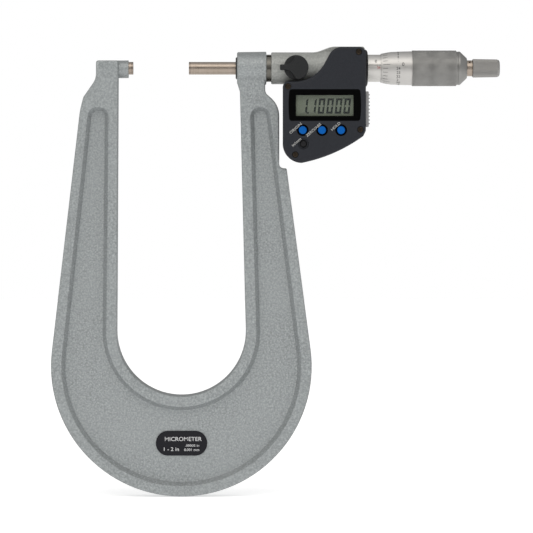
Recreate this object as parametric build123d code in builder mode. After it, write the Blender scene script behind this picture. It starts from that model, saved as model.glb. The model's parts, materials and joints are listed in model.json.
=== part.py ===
"""Digital deep-throat outside micrometer, 1 to 2 inch, as a bench assembly of separate pieces.

Millimetres.  The origin is the centre of the anvil's measuring face, +X runs along the spindle
towards the ratchet, +Z is up and the display faces -Y.  The rest pose reads 1.1 inch.
"""

from build123d import *
import math
import os

# ---- Measuring line -------------------------------------------------------------------------
INCH = 25.4
READING = 1.1 * INCH  # gap between the measuring faces at rest
SPINDLE_R = 6.35 / 2
TIP_LENGTH = 1.0  # carbide tips on both faces
RUNNING_GAP = 0.03  # radial clearance of a running fit

# ---- Frame ----------------------------------------------------------------------------------
FRAME_HALF = 6.0  # half of the rim's thickness
PANEL_DEPTH = 2.8  # how far the web lies below the rim, on each side
PANEL_SLOPE = 1.6  # how far the sunk panel's walls lean in
PANEL_STEP = 1.0  # height of the upright foot of those walls
PANEL_FOOT_R = 0.9  # casting radii at the foot and the brow of those walls
PANEL_BROW_R = 0.5
BOW_X = 24.04  # centre line of the U
BOW_OUTER_Z = -149.9
BOW_OUTER_R = 65.6
BOW_INNER_Z = -132.4
BOW_INNER_R = 32.4
BOW_PANEL_OUTER_R = 60.4
BOW_PANEL_INNER_R = 37.6
PANEL_TOP_Z = -19.4
PANEL_END_R = 4.7
RIM_ROUND = 0.8
ANVIL_END_X = -18.5
ANVIL_BOSS_X = -2.35
ANVIL_BOSS_R = 4.45
ANVIL_BOSS_Z = -0.5
ANVIL_BACK_X = -14.0
HEAD_BOSS_START = 52.1
HEAD_BOSS_END = 66.8
HEAD_BOSS_R = 8.3

# ---- Stem that joins the measuring head to the frame ----------------------------------------
STEM_R = 5.5
STEM_END = 80.0
NOSE_START = 51.4
LOCK_RING_END = 69.25
LOCK_RING_R = 6.85
LOCK_RING_SLOTS = 6

# ---- Head casting and its cover -------------------------------------------------------------
BARREL_R = 8.0
CHAMBER_START = 97.0  # encoder chamber, bored from the thimble side
CHAMBER_END = 114.2
CHAMBER_R = 7.2
CHAMBER_WALL_R = 9.0
SHOULDER_R = 10.9  # the casting's round back over the chamber
CASTING_END = 116.2
HOUSING_LEFT = 75.0
HOUSING_RIGHT = 116.4
HOUSING_TOP = 10.6
HOUSING_BOTTOM = -47.3
CASTING_FRONT = -3.0  # joint plane of casting and cover
CASTING_BACK = 9.0
COVER_BACK = -3.4
COVER_FRONT = -13.5
COVER_WALL = 1.8
CASTING_INSET = 0.4  # the casting is this much smaller than the cover, all round
CASTING_WALL = 2.2
SCREW_PLACES = [(112.8, 8.1), (77.5, -9.1), (113.6, -30.6), (81.15, -43.1)]
SCREW_SHANK_R = 0.75
SCREW_HEAD_R = 1.45
SCREW_HEAD_SEAT = -12.3
SCREW_HEAD_HEIGHT = 1.0
SCREW_RECESS_R = 0.55
SCREW_RECESS_FLOOR = SCREW_HEAD_SEAT - 0.4
SCREW_TIP = -0.6
SCREW_POST_R = 2.3
DECK = -10.2  # underside of the casting round the spindle; the works lie below it
CABLE_SLOT_START = 109.0  # slot that lets the encoder's cable down to the board
CABLE_SLOT_END = 111.0
CABLE_SLOT_TOP = -6.0
CABLE_SLOT_HALF = 0.8

# ---- Spindle lock ---------------------------------------------------------------------------
LEVER_X = 81.6
LEVER_Z = 0.4
LEVER_R = 6.15
LEVER_BACK = -9.4
LEVER_STEP = -10.9
LEVER_FRONT = -12.2
LEVER_SEAT = -9.2
LEVER_SEAT_R = 5.0
LEVER_NIB = 8.05
LEVER_WASHER_R = 3.6
CAM_R = 2.0
CAM_BACK = -6.25
PLUNGER_R = 1.5
PLUNGER_FRONT = -6.2
PLUNGER_TIP = -3.45

# ---- Display, buttons and board -------------------------------------------------------------
BEZEL_LEFT = 77.75
BEZEL_RIGHT = 113.95
BEZEL_TOP = -10.5
BEZEL_BOTTOM = -26.3
VIEW_LEFT = 81.45
VIEW_RIGHT = 110.15
VIEW_TOP = -13.45
VIEW_BOTTOM = -23.85
BEZEL_SEAT = -12.5
PANEL_MARGIN = 1.3  # the liquid crystal panel reaches this far behind the bezel
BUTTON_R = 1.95
BUTTON_GAP = 0.4
BUTTON_DISH_R = 2.95  # shallow step round each of the three main buttons
BUTTON_DISH_FLOOR = -12.9
BUTTON_FLANGE = 0.95  # how far the hidden flange stands out round the button
BUTTON_FRONT = -14.0
UNIT_FRONT = -13.1
UNIT_R = 1.5
UNIT_DISH_R = 2.8
UNIT_DISH_FLOOR = -12.6
BUTTONS = {
    "button_origin": (84.85, -30.9, BUTTON_R, BUTTON_FRONT),
    "button_zero": (94.45, -30.9, BUTTON_R, BUTTON_FRONT),
    "button_hold": (104.0, -30.9, BUTTON_R, BUTTON_FRONT),
    "button_unit": (85.2, -37.75, UNIT_R, UNIT_FRONT),
}
FLANGE_FRONT = -11.55
FLANGE_BACK = -10.75
BUTTON_STEM_BACK = -9.9
PAD_FRONT = -9.1
PAD_BACK = -8.3
BOARD_FRONT = -6.2
BOARD_BACK = -5.2
LCD_FRONT = -11.6
LCD_BACK = -9.9

# ---- Data port, on the housing's right side -------------------------------------------------
PORT_TOP = -13.8
PORT_BOTTOM = -27.2
PORT_FRONT = -9.7
PORT_END = 116.0
PORT_FLOOR = 112.6
PORT_WALL = 0.7
PORT_CAP_TOP = -11.6
PORT_CAP_BOTTOM = -29.4
PORT_CAP_START = 116.45
PORT_CAP_END = 117.9
PORT_RIBS = 9

# ---- Battery --------------------------------------------------------------------------------
BATTERY_X = 96.0
BATTERY_Z = -27.0
BATTERY_R = 5.8
BATTERY_FRONT = 0.6
BATTERY_BACK = 5.9
BATTERY_LIP = 0.4
CAP_R = 7.6
CAP_PLUG_R = 6.6
CAP_PLUG_FRONT = 6.2
CAP_BACK = 10.4
SEAL_R = 6.3
SEAL_WIRE_R = 0.32
SEAL_Y = 8.2

# ---- Spindle, sleeve and thimble ------------------------------------------------------------
THREAD_R = 3.7
THREAD_START = 111.1
THREAD_END = 152.5
NUT_SEAT_START = 136.0
INNER_BARREL_R = 5.5
INNER_BARREL_END = 149.0
SLEEVE_R = 6.83
SLEEVE_BORE_R = INNER_BARREL_R + RUNNING_GAP
SLEEVE_START = 116.6
SLEEVE_END = 148.6
COLLAR_R = 9.4
COLLAR_END = 117.7
COLLAR_FACE_R = 7.3  # where its rounded nose ends
THIMBLE_EDGE = 124.2
THIMBLE_EDGE_R = 7.28
THIMBLE_BEVEL_END = 129.1  # the graduated bevel ends here
THIMBLE_BEVEL_R = 8.18
THIMBLE_BODY_R = 8.4
THIMBLE_BORE_R = 7.05
THIMBLE_R = 9.0
KNURL_START = 139.9
KNURL_END = 162.2
THIMBLE_END = 167.5
CONE_START = 156.0
CONE_END = 163.4
CONE_BIG_R = 4.5
CONE_SMALL_R = 3.7
RATCHET_START = 170.3
RATCHET_END = 184.0
RATCHET_R = 4.65
RATCHET_SCREW_R = 1.45
RATCHET_WEB_START = 172.6
RATCHET_WEB_END = 174.0

FRONT_TO_BACK = Axis.Y
SPINDLE_AXIS = Axis.X

os.makedirs("parts", exist_ok=True)


def save(piece, name):
    """Labels a finished piece and writes it to its own file."""
    piece.part.label = name
    export_step(piece.part, f"parts/{name}.step")


def touch_point(point, centre, radius, side):
    """Where a straight line from point touches a circle; side 1 is to the left of the way in."""
    outward = Vector(*point) - Vector(*centre)
    swing = side * math.degrees(math.acos(radius / outward.length))
    return Vector(*centre) + outward.normalized().rotate(Axis.Z, swing) * radius


def tube(start, end, outer, inner=0.0, mode=Mode.ADD):
    """A round bar, or a tube, on the spindle axis from start to end."""
    with BuildSketch(Plane.YZ.offset(start)) as section:
        Circle(outer)
        if inner:
            Circle(inner, mode=Mode.SUBTRACT)
    extrude(section.sketch, amount=end - start, mode=mode)


def stud(x, z, back, front, radius, mode=Mode.ADD):
    """A round bar along Y through x, z, from its back forward to its front."""
    with BuildSketch(Plane.XZ.offset(-back)) as section:
        with Locations((x, z)):
            Circle(radius)
    extrude(section.sketch, amount=back - front, mode=mode)


def block(left, right, bottom, top, back, front, corner=0.0, mode=Mode.ADD):
    """A rectangular block by its limits, its corners seen from the front rounded."""
    with BuildSketch(Plane.XZ.offset(-back)) as section:
        with Locations(((left + right) / 2, (bottom + top) / 2)):
            if corner:
                RectangleRounded(right - left, top - bottom, corner)
            else:
                Rectangle(right - left, top - bottom)
    extrude(section.sketch, amount=back - front, mode=mode)


def turned(profile, mode=Mode.ADD):
    """A piece turned about the spindle axis, from its profile of (x, radius) points."""
    with BuildSketch(Plane.XZ) as half:
        with BuildLine():
            Polyline(*profile, close=True)
        make_face()
    revolve(half.sketch, axis=SPINDLE_AXIS, mode=mode)


# ---- Outlines -------------------------------------------------------------------------------
def bow(outer_start, outer_end, inner_start, inner_end, outer_r, inner_r):
    """The two arcs of the U's bottom, between the ends of the straight runs."""
    ThreePointArc(outer_start, (BOW_X, BOW_OUTER_Z - outer_r), outer_end)
    ThreePointArc(inner_start, (BOW_X, BOW_INNER_Z - inner_r), inner_end)


def frame_outline():
    """The whole frame seen from the front: two legs on a round bow."""
    outer = (BOW_X, BOW_OUTER_Z)
    inner = (BOW_X, BOW_INNER_Z)
    left_shoulder = (-26.6, -21.0)
    left_top_inside = (-7.4, 3.9)
    right_notch = (77.0, -50.4)
    right_inside = (53.55, -11.8)
    outer_left = touch_point(left_shoulder, outer, BOW_OUTER_R, 1)
    outer_right = touch_point(right_notch, outer, BOW_OUTER_R, -1)
    inner_left = touch_point(left_top_inside, inner, BOW_INNER_R, 1)
    inner_right = touch_point(right_inside, inner, BOW_INNER_R, -1)
    with BuildSketch(Plane.XZ) as outline:
        with BuildLine():
            bow(outer_left, outer_right, inner_left, inner_right, BOW_OUTER_R, BOW_INNER_R)
            FilletPolyline(
                outer_left,
                left_shoulder,
                (-24.9, -14.4),
                (ANVIL_END_X, -5.3),
                (ANVIL_END_X, 3.9),
                left_top_inside,
                inner_left,
                radius=[30, 4, 9, 1.2, 0.8],
            )
            FilletPolyline(
                inner_right,
                right_inside,
                (52.3, -7.9),
                (52.3, 0),
                (66.2, 0),
                (66.2, -12.3),
                (73.25, -18.5),
                (73.25, -50.1),
                right_notch,
                outer_right,
                radius=[4, 2, 0, 0, 3.5, 12, 2.4, 0.4],
            )
        make_face()
    return outline.sketch


def panel_floor(level):
    """The floor of the panel that follows the frame's legs and bow, on the plane at the given Y."""
    outer = (BOW_X, BOW_OUTER_Z)
    inner = (BOW_X, BOW_INNER_Z)
    left_out, left_in = (-22.4, PANEL_TOP_Z), (-12.1, PANEL_TOP_Z)
    right_in, right_out = (58.5, PANEL_TOP_Z), (68.3, PANEL_TOP_Z)
    outer_left = touch_point(left_out, outer, BOW_PANEL_OUTER_R, 1)
    outer_right = touch_point(right_out, outer, BOW_PANEL_OUTER_R, -1)
    inner_left = touch_point(left_in, inner, BOW_PANEL_INNER_R, 1)
    inner_right = touch_point(right_in, inner, BOW_PANEL_INNER_R, -1)
    with BuildSketch(Plane.XZ.offset(-level)) as outline:
        with BuildLine():
            bow(
                outer_left,
                outer_right,
                inner_left,
                inner_right,
                BOW_PANEL_OUTER_R,
                BOW_PANEL_INNER_R,
            )
            ends = [PANEL_END_R, PANEL_END_R]
            FilletPolyline(outer_left, left_out, left_in, inner_left, radius=ends)
            FilletPolyline(inner_right, right_in, right_out, outer_right, radius=ends)
        make_face()
        offset(amount=-PANEL_SLOPE)
    return outline.sketch


def housing_outline(level, inset=0.0):
    """The head's housing seen from the front, on the plane at the given Y, drawn in by inset."""
    step_corner = (90.85, -6.65)
    step_top = (100.3, HOUSING_TOP)
    corner_r = 9.4
    corner_x = HOUSING_LEFT + corner_r
    corner_z = HOUSING_BOTTOM + corner_r
    lean = corner_r * math.sqrt(0.5)
    with BuildSketch(Plane.XZ.offset(-level)) as outline:
        with BuildLine():
            FilletPolyline(
                (HOUSING_LEFT, corner_z),
                (HOUSING_LEFT, step_corner[1]),
                step_corner,
                step_top,
                (HOUSING_RIGHT, HOUSING_TOP),
                (HOUSING_RIGHT, -31.2),
                (115.1, -33.9),
                radius=[2.8, 17, 7, 3.4, 2.2],
            )
            ThreePointArc((115.1, -33.9), (100.0, -42.5), (corner_x, HOUSING_BOTTOM))
            ThreePointArc(
                (corner_x, HOUSING_BOTTOM),
                (corner_x - lean, corner_z - lean),
                (HOUSING_LEFT, corner_z),
            )
        make_face()
        if inset:
            offset(amount=-inset)
    return outline.sketch


# ---- Frame and anvil ------------------------------------------------------------------------
with BuildPart() as frame:
    extrude(frame_outline(), amount=FRAME_HALF, both=True)
    rims = frame.faces().sort_by(FRONT_TO_BACK)
    fillet(rims[0].edges() + rims[-1].edges(), RIM_ROUND)
    # a sunk panel on each side, with sloping walls
    for side, face in ((-1, 0), (1, -1)):
        extrude(
            panel_floor(side * FRAME_HALF),
            amount=side * PANEL_DEPTH,
            mode=Mode.SUBTRACT,
        )
        floor_level = side * (FRAME_HALF - PANEL_DEPTH)
        floor_edges = frame.edges().filter_by_position(
            FRONT_TO_BACK, floor_level - 0.01, floor_level + 0.01
        )
        fillet(floor_edges, PANEL_FOOT_R)
        rim = frame.faces().sort_by(FRONT_TO_BACK)[face]
        wall_top = rim.inner_wires()[0].edges()
        chamfer(wall_top, PANEL_SLOPE, PANEL_DEPTH - PANEL_STEP, reference=rim)
        rim = frame.faces().sort_by(FRONT_TO_BACK)[face]
        fillet(rim.inner_wires()[0].edges(), PANEL_BROW_R)
    with BuildSketch(Plane.YZ.offset(ANVIL_END_X + 2)) as anvil_boss:
        with Locations((0, ANVIL_BOSS_Z)):
            Circle(ANVIL_BOSS_R)
    extrude(amount=ANVIL_BOSS_X - ANVIL_END_X - 2)
    turned(
        [
            (HEAD_BOSS_START, 0),
            (HEAD_BOSS_START, HEAD_BOSS_R - 0.7),
            (HEAD_BOSS_START + 0.5, HEAD_BOSS_R - 0.2),
            (HEAD_BOSS_END - 0.3, HEAD_BOSS_R),
            (HEAD_BOSS_END, HEAD_BOSS_R - 0.3),
            (HEAD_BOSS_END, 0),
        ]
    )
    tube(ANVIL_BACK_X, ANVIL_BOSS_X, SPINDLE_R, mode=Mode.SUBTRACT)
    tube(HEAD_BOSS_START, HEAD_BOSS_END, STEM_R, mode=Mode.SUBTRACT)
save(frame, "frame")

with BuildPart() as anvil:
    tube(ANVIL_BACK_X, -TIP_LENGTH, SPINDLE_R)
    chamfer(anvil.faces().sort_by(SPINDLE_AXIS)[0].edges(), 0.4)
save(anvil, "anvil")

with BuildPart() as anvil_tip:
    tube(-TIP_LENGTH, 0, SPINDLE_R)
save(anvil_tip, "anvil_tip")

PLATE_Z = -188.7
PLATE_LENGTH = 25.8
PLATE_HEIGHT = 12.5
PLATE_BACK = PANEL_DEPTH - FRAME_HALF
with BuildPart() as name_plate:
    with BuildSketch(Plane.XZ.offset(-PLATE_BACK)):
        with Locations((BOW_X, PLATE_Z)):
            RectangleRounded(PLATE_LENGTH, PLATE_HEIGHT, PLATE_HEIGHT / 2 - 0.2)
    extrude(amount=0.5)
    chamfer(name_plate.faces().sort_by(FRONT_TO_BACK)[0].edges(), 0.15)
save(name_plate, "name_plate")


# ---- Stem, nose seal and lock ring ----------------------------------------------------------
SEAL_POCKET_R = 4.3
SEAL_POCKET_END = HEAD_BOSS_START + 1.6
SPINDLE_BORE_R = SPINDLE_R + RUNNING_GAP

with BuildPart() as head_stem:
    tube(HEAD_BOSS_START, STEM_END, STEM_R, SPINDLE_BORE_R)
    tube(HEAD_BOSS_START, SEAL_POCKET_END, SEAL_POCKET_R, mode=Mode.SUBTRACT)
save(head_stem, "head_stem")

with BuildPart() as nose_seal:
    turned(
        [
            (NOSE_START, SPINDLE_BORE_R),
            (NOSE_START, STEM_R - 0.4),
            (NOSE_START + 0.3, STEM_R),
            (HEAD_BOSS_START, STEM_R),
            (HEAD_BOSS_START, SEAL_POCKET_R),
            (SEAL_POCKET_END, SEAL_POCKET_R),
            (SEAL_POCKET_END, SPINDLE_BORE_R),
        ]
    )
save(nose_seal, "nose_seal")

with BuildPart() as stem_lock_ring:
    tube(HEAD_BOSS_END, LOCK_RING_END, LOCK_RING_R, STEM_R)
    with BuildSketch(Plane.YZ.offset(HEAD_BOSS_END)):
        with PolarLocations(LOCK_RING_R, LOCK_RING_SLOTS, start_angle=180):
            Rectangle(1.6, 1.1)
    extrude(amount=LOCK_RING_END - HEAD_BOSS_END, mode=Mode.SUBTRACT)
save(stem_lock_ring, "stem_lock_ring")


# ---- Head casting ---------------------------------------------------------------------------
STEP_START = 92.0  # where the barrel starts to widen towards the chamber
SHOULDER_FULL = 99.5


def clear_barrel(gap):
    """Cuts the room that a piece in front of the barrel and chamber needs."""
    turned(
        [
            (LOCK_RING_END, 0),
            (LOCK_RING_END, BARREL_R + gap),
            (STEP_START, BARREL_R + gap),
            (CHAMBER_START - 0.5, CHAMBER_WALL_R + gap),
            (CHAMBER_END + gap, CHAMBER_WALL_R + gap),
            (CHAMBER_END + gap, 0),
        ],
        mode=Mode.SUBTRACT,
    )
    tube(CHAMBER_END, HOUSING_RIGHT + 1, CHAMBER_R + 0.1, mode=Mode.SUBTRACT)


def works_space(level, inset):
    """The housing's outline below the deck, drawn in by inset."""
    with BuildSketch(Plane.XZ.offset(-level)) as space:
        add(housing_outline(level, inset))
        with Locations(((HOUSING_LEFT + HOUSING_RIGHT) / 2, DECK + HOUSING_BOTTOM / 2)):
            Rectangle(60, -HOUSING_BOTTOM, mode=Mode.INTERSECT)
    return space.sketch


with BuildPart() as head_body:
    # housing plate behind the cover
    extrude(housing_outline(CASTING_BACK, CASTING_INSET), amount=CASTING_BACK - CASTING_FRONT)
    fillet(head_body.faces().sort_by(FRONT_TO_BACK)[-1].edges(), 1.6)
    # round back that rises over the chamber, cut flat at the joint plane
    with BuildSketch(Plane.XZ) as shoulder:
        with BuildLine():
            FilletPolyline(
                (LOCK_RING_END, 0),
                (LOCK_RING_END, BARREL_R),
                (STEP_START, BARREL_R),
                (SHOULDER_FULL, SHOULDER_R),
                (CASTING_END, SHOULDER_R),
                (CASTING_END, 0),
                radius=[0.6, 12, 12, 1.2],
            )
            Line((CASTING_END, 0), (LOCK_RING_END, 0))
        make_face()
    revolve(shoulder.sketch, axis=SPINDLE_AXIS, revolution_arc=360)
    block(
        STEP_START - 6,
        CASTING_END + 1,
        -SHOULDER_R,
        SHOULDER_R + 1,
        CASTING_FRONT,
        -SHOULDER_R - 1,
        mode=Mode.SUBTRACT,
    )
    # barrel and chamber wall, which stand forward into the cover
    turned(
        [
            (STEP_START - 8, 0),
            (STEP_START - 8, BARREL_R),
            (STEP_START, BARREL_R),
            (CHAMBER_START - 0.5, CHAMBER_WALL_R),
            (CHAMBER_END, CHAMBER_WALL_R),
            (CHAMBER_END, 0),
        ]
    )
    stud(LEVER_X, LEVER_Z, CASTING_FRONT, LEVER_SEAT, LEVER_SEAT_R)
    # room for the works, with a post for each screw and the battery's well
    extrude(
        works_space(CASTING_BACK - CASTING_WALL, CASTING_INSET + CASTING_WALL),
        amount=CASTING_BACK - CASTING_WALL - CASTING_FRONT,
        mode=Mode.SUBTRACT,
    )
    for x, z in SCREW_PLACES[1:]:
        stud(x, z, CASTING_BACK - 1.5, CASTING_FRONT, SCREW_POST_R - 0.5)
    stud(BATTERY_X, BATTERY_Z, CASTING_BACK - 1, BATTERY_LIP - 0.8, CAP_R + 0.4)
    stud(BATTERY_X, BATTERY_Z, CASTING_BACK, CAP_PLUG_FRONT - 0.2, CAP_PLUG_R + 0.1, Mode.SUBTRACT)
    stud(BATTERY_X, BATTERY_Z, CASTING_BACK, BATTERY_LIP, BATTERY_R + 0.2, Mode.SUBTRACT)
    stud(BATTERY_X, BATTERY_Z, CASTING_BACK, BATTERY_LIP - 1, BATTERY_R - 0.8, Mode.SUBTRACT)
    # bores on the spindle's axis, and the lock's and the screws' holes
    tube(LOCK_RING_END, STEM_END, STEM_R, mode=Mode.SUBTRACT)
    tube(STEM_END, CHAMBER_START, 4.0, mode=Mode.SUBTRACT)
    tube(CHAMBER_START, CASTING_END, CHAMBER_R, mode=Mode.SUBTRACT)
    stud(LEVER_X, LEVER_Z, 0, LEVER_SEAT, PLUNGER_R + RUNNING_GAP, Mode.SUBTRACT)
    stud(LEVER_X, LEVER_Z, CAM_BACK, LEVER_SEAT, CAM_R + RUNNING_GAP, Mode.SUBTRACT)
    for x, z in SCREW_PLACES:
        stud(x, z, SCREW_TIP, COVER_FRONT, SCREW_SHANK_R, Mode.SUBTRACT)
    block(
        CABLE_SLOT_START,
        CABLE_SLOT_END,
        DECK - 1,
        CABLE_SLOT_TOP,
        CABLE_SLOT_HALF,
        -CABLE_SLOT_HALF,
        mode=Mode.SUBTRACT,
    )
save(head_body, "head_body")


# ---- Front cover ----------------------------------------------------------------------------
BEZEL_CORNER_R = 1.3
BEZEL_BULGE = 0.5  # the bezel's short sides bow out by this much
COVER_INSIDE = COVER_FRONT + COVER_WALL


def bezel_outline(level):
    """The display bezel's outline: straight top and bottom, short sides slightly bowed."""
    middle = (BEZEL_TOP + BEZEL_BOTTOM) / 2
    left, right = BEZEL_LEFT + BEZEL_BULGE, BEZEL_RIGHT - BEZEL_BULGE
    with BuildSketch(Plane.XZ.offset(-level)) as outline:
        with BuildLine():
            Line((left, BEZEL_TOP), (right, BEZEL_TOP))
            ThreePointArc((right, BEZEL_TOP), (BEZEL_RIGHT, middle), (right, BEZEL_BOTTOM))
            Line((right, BEZEL_BOTTOM), (left, BEZEL_BOTTOM))
            ThreePointArc((left, BEZEL_BOTTOM), (BEZEL_LEFT, middle), (left, BEZEL_TOP))
        make_face()
        fillet(outline.vertices(), BEZEL_CORNER_R)
    return outline.sketch


with BuildPart() as front_cover:
    extrude(housing_outline(COVER_BACK), amount=COVER_BACK - COVER_FRONT)
    fillet(front_cover.faces().sort_by(FRONT_TO_BACK)[0].edges(), 1.2)
    extrude(
        housing_outline(COVER_BACK, COVER_WALL),
        amount=COVER_BACK - COVER_INSIDE,
        mode=Mode.SUBTRACT,
    )
    for x, z in SCREW_PLACES:
        stud(x, z, COVER_BACK, COVER_INSIDE, SCREW_POST_R - 0.2)
    for x, z in SCREW_PLACES:
        stud(x, z, COVER_BACK, COVER_FRONT, SCREW_SHANK_R + 0.1, Mode.SUBTRACT)
        stud(x, z, SCREW_HEAD_SEAT, COVER_FRONT, SCREW_HEAD_R + 0.15, Mode.SUBTRACT)
    extrude(bezel_outline(BEZEL_SEAT), amount=BEZEL_SEAT - COVER_FRONT, mode=Mode.SUBTRACT)
    block(
        VIEW_LEFT - 1,
        VIEW_RIGHT + 1,
        VIEW_BOTTOM - 1,
        VIEW_TOP + 1,
        COVER_INSIDE,
        BEZEL_SEAT,
        mode=Mode.SUBTRACT,
    )
    for x, z, radius, _ in BUTTONS.values():
        stud(x, z, COVER_INSIDE, COVER_FRONT, radius + BUTTON_GAP, Mode.SUBTRACT)
    for x, z, _, _ in list(BUTTONS.values())[:3]:
        stud(x, z, BUTTON_DISH_FLOOR, COVER_FRONT, BUTTON_DISH_R, Mode.SUBTRACT)
    unit_x, unit_z = BUTTONS["button_unit"][:2]
    stud(unit_x, unit_z, UNIT_DISH_FLOOR, COVER_FRONT, UNIT_DISH_R, Mode.SUBTRACT)
    clear_barrel(0.2)
    block(
        HOUSING_RIGHT - COVER_WALL - 1,
        HOUSING_RIGHT,
        PORT_BOTTOM - 0.2,
        PORT_TOP + 0.2,
        BOARD_FRONT + 0.1,
        PORT_FRONT - 0.1,
        mode=Mode.SUBTRACT,
    )
save(front_cover, "front_cover")

# in two lengths, because the barrel and the chamber's mouth pass through its line
with BuildPart() as cover_gasket:
    extrude(housing_outline(CASTING_FRONT, 0.5), amount=CASTING_FRONT - COVER_BACK)
    extrude(
        housing_outline(CASTING_FRONT, 1.5), amount=CASTING_FRONT - COVER_BACK, mode=Mode.SUBTRACT
    )
    clear_barrel(0.05)
save(cover_gasket, "cover_gasket")

with BuildPart() as cover_screws:
    for x, z in SCREW_PLACES:
        stud(x, z, SCREW_TIP, SCREW_HEAD_SEAT, SCREW_SHANK_R)
        front = SCREW_HEAD_SEAT - SCREW_HEAD_HEIGHT
        stud(x, z, SCREW_HEAD_SEAT, front, SCREW_HEAD_R)
        stud(x, z, SCREW_RECESS_FLOOR, front, SCREW_RECESS_R, Mode.SUBTRACT)
save(cover_screws, "cover_screws")


# ---- Display --------------------------------------------------------------------------------
with BuildPart() as display_bezel:
    extrude(bezel_outline(BEZEL_SEAT), amount=BEZEL_SEAT - COVER_FRONT)
    block(
        VIEW_LEFT,
        VIEW_RIGHT,
        VIEW_BOTTOM,
        VIEW_TOP,
        BEZEL_SEAT,
        COVER_FRONT,
        mode=Mode.SUBTRACT,
    )
save(display_bezel, "display_bezel")

with BuildPart() as display_lens:
    block(VIEW_LEFT, VIEW_RIGHT, VIEW_BOTTOM, VIEW_TOP, BEZEL_SEAT, COVER_FRONT + 0.05)
save(display_lens, "display_lens")

LCD_BOTTOM = VIEW_BOTTOM - PANEL_MARGIN
with BuildPart() as lcd_panel:
    block(
        VIEW_LEFT - PANEL_MARGIN,
        VIEW_RIGHT + PANEL_MARGIN,
        LCD_BOTTOM,
        VIEW_TOP + PANEL_MARGIN,
        LCD_BACK,
        LCD_FRONT,
    )
save(lcd_panel, "lcd_panel")

with BuildPart() as lcd_connector:
    block(VIEW_LEFT + 2, VIEW_RIGHT - 2, LCD_BOTTOM, LCD_BOTTOM + 1.8, BOARD_FRONT, LCD_BACK)
save(lcd_connector, "lcd_connector")


# ---- Board and what it carries --------------------------------------------------------------
with BuildPart() as circuit_board:
    extrude(works_space(BOARD_BACK, COVER_WALL + 1.0), amount=BOARD_BACK - BOARD_FRONT)
    for x, z in SCREW_PLACES:
        stud(x, z, BOARD_BACK, BOARD_FRONT, SCREW_POST_R + 0.2, Mode.SUBTRACT)
save(circuit_board, "circuit_board")

CHIP_SIZE = 7.0
CHIP_LEFT = 103.5
CHIP_BOTTOM = -23.0
CHIP_THICKNESS = 1.0
with BuildPart() as processor_chip:
    block(
        CHIP_LEFT,
        CHIP_LEFT + CHIP_SIZE,
        CHIP_BOTTOM,
        CHIP_BOTTOM + CHIP_SIZE,
        BOARD_BACK + CHIP_THICKNESS,
        BOARD_BACK,
    )
save(processor_chip, "processor_chip")

SWITCH_SIZE = 3.4
with BuildPart() as tact_switches:
    for x, z, _, _ in BUTTONS.values():
        half = SWITCH_SIZE / 2
        block(x - half, x + half, z - half, z + half, BOARD_FRONT, PAD_BACK + 0.1)
        stud(x, z, PAD_BACK + 0.1, PAD_BACK, 0.9)
save(tact_switches, "tact_switches")

# L-shaped rubber sheet that reaches behind all four buttons
PAD_MARGIN = 2.9
with BuildPart() as button_pad:
    row_left, row_z = BUTTONS["button_origin"][:2]
    row_right = BUTTONS["button_hold"][0]
    pad_left = row_left - PAD_MARGIN
    pad_top = row_z + PAD_MARGIN
    pad_bottom = BUTTONS["button_unit"][1] - PAD_MARGIN
    block(
        pad_left,
        row_right + PAD_MARGIN,
        row_z - PAD_MARGIN,
        pad_top,
        PAD_BACK,
        PAD_FRONT,
        corner=0.8,
    )
    block(
        pad_left,
        BUTTONS["button_unit"][0] + PAD_MARGIN,
        pad_bottom,
        pad_top,
        PAD_BACK,
        PAD_FRONT,
        corner=0.8,
    )
save(button_pad, "button_pad")

for name, (x, z, radius, front) in BUTTONS.items():
    with BuildPart() as button:
        stud(x, z, FLANGE_BACK, front, radius)
        fillet(button.faces().sort_by(FRONT_TO_BACK)[0].edges(), 0.5)
        stud(x, z, FLANGE_BACK, FLANGE_FRONT, radius + BUTTON_FLANGE)
        stud(x, z, BUTTON_STEM_BACK, FLANGE_BACK, 1.0)
    save(button, name)


# ---- Battery and its screwed cap ------------------------------------------------------------
with BuildPart() as battery:
    stud(BATTERY_X, BATTERY_Z, BATTERY_BACK, BATTERY_FRONT, BATTERY_R)
    fillet(battery.faces().sort_by(FRONT_TO_BACK)[0].edges(), 0.6)
save(battery, "battery")

with BuildPart() as battery_contact:
    # leaf from its foot on the board, sloping back to touch the battery
    with BuildSketch(Plane.YZ.offset(BATTERY_X - 1.2)):
        with BuildLine():
            Polyline(
                (BOARD_BACK, BATTERY_Z - 4.0),
                (BOARD_BACK, BATTERY_Z - 2.4),
                (BATTERY_FRONT - 0.3, BATTERY_Z - 1.0),
                (BATTERY_FRONT - 0.3, BATTERY_Z + 1.2),
                (BATTERY_FRONT, BATTERY_Z + 1.2),
                (BATTERY_FRONT, BATTERY_Z - 1.2),
                (BOARD_BACK + 0.3, BATTERY_Z - 2.6),
                (BOARD_BACK + 0.3, BATTERY_Z - 4.0),
                close=True,
            )
        make_face()
    extrude(amount=2.4)
save(battery_contact, "battery_contact")

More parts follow.
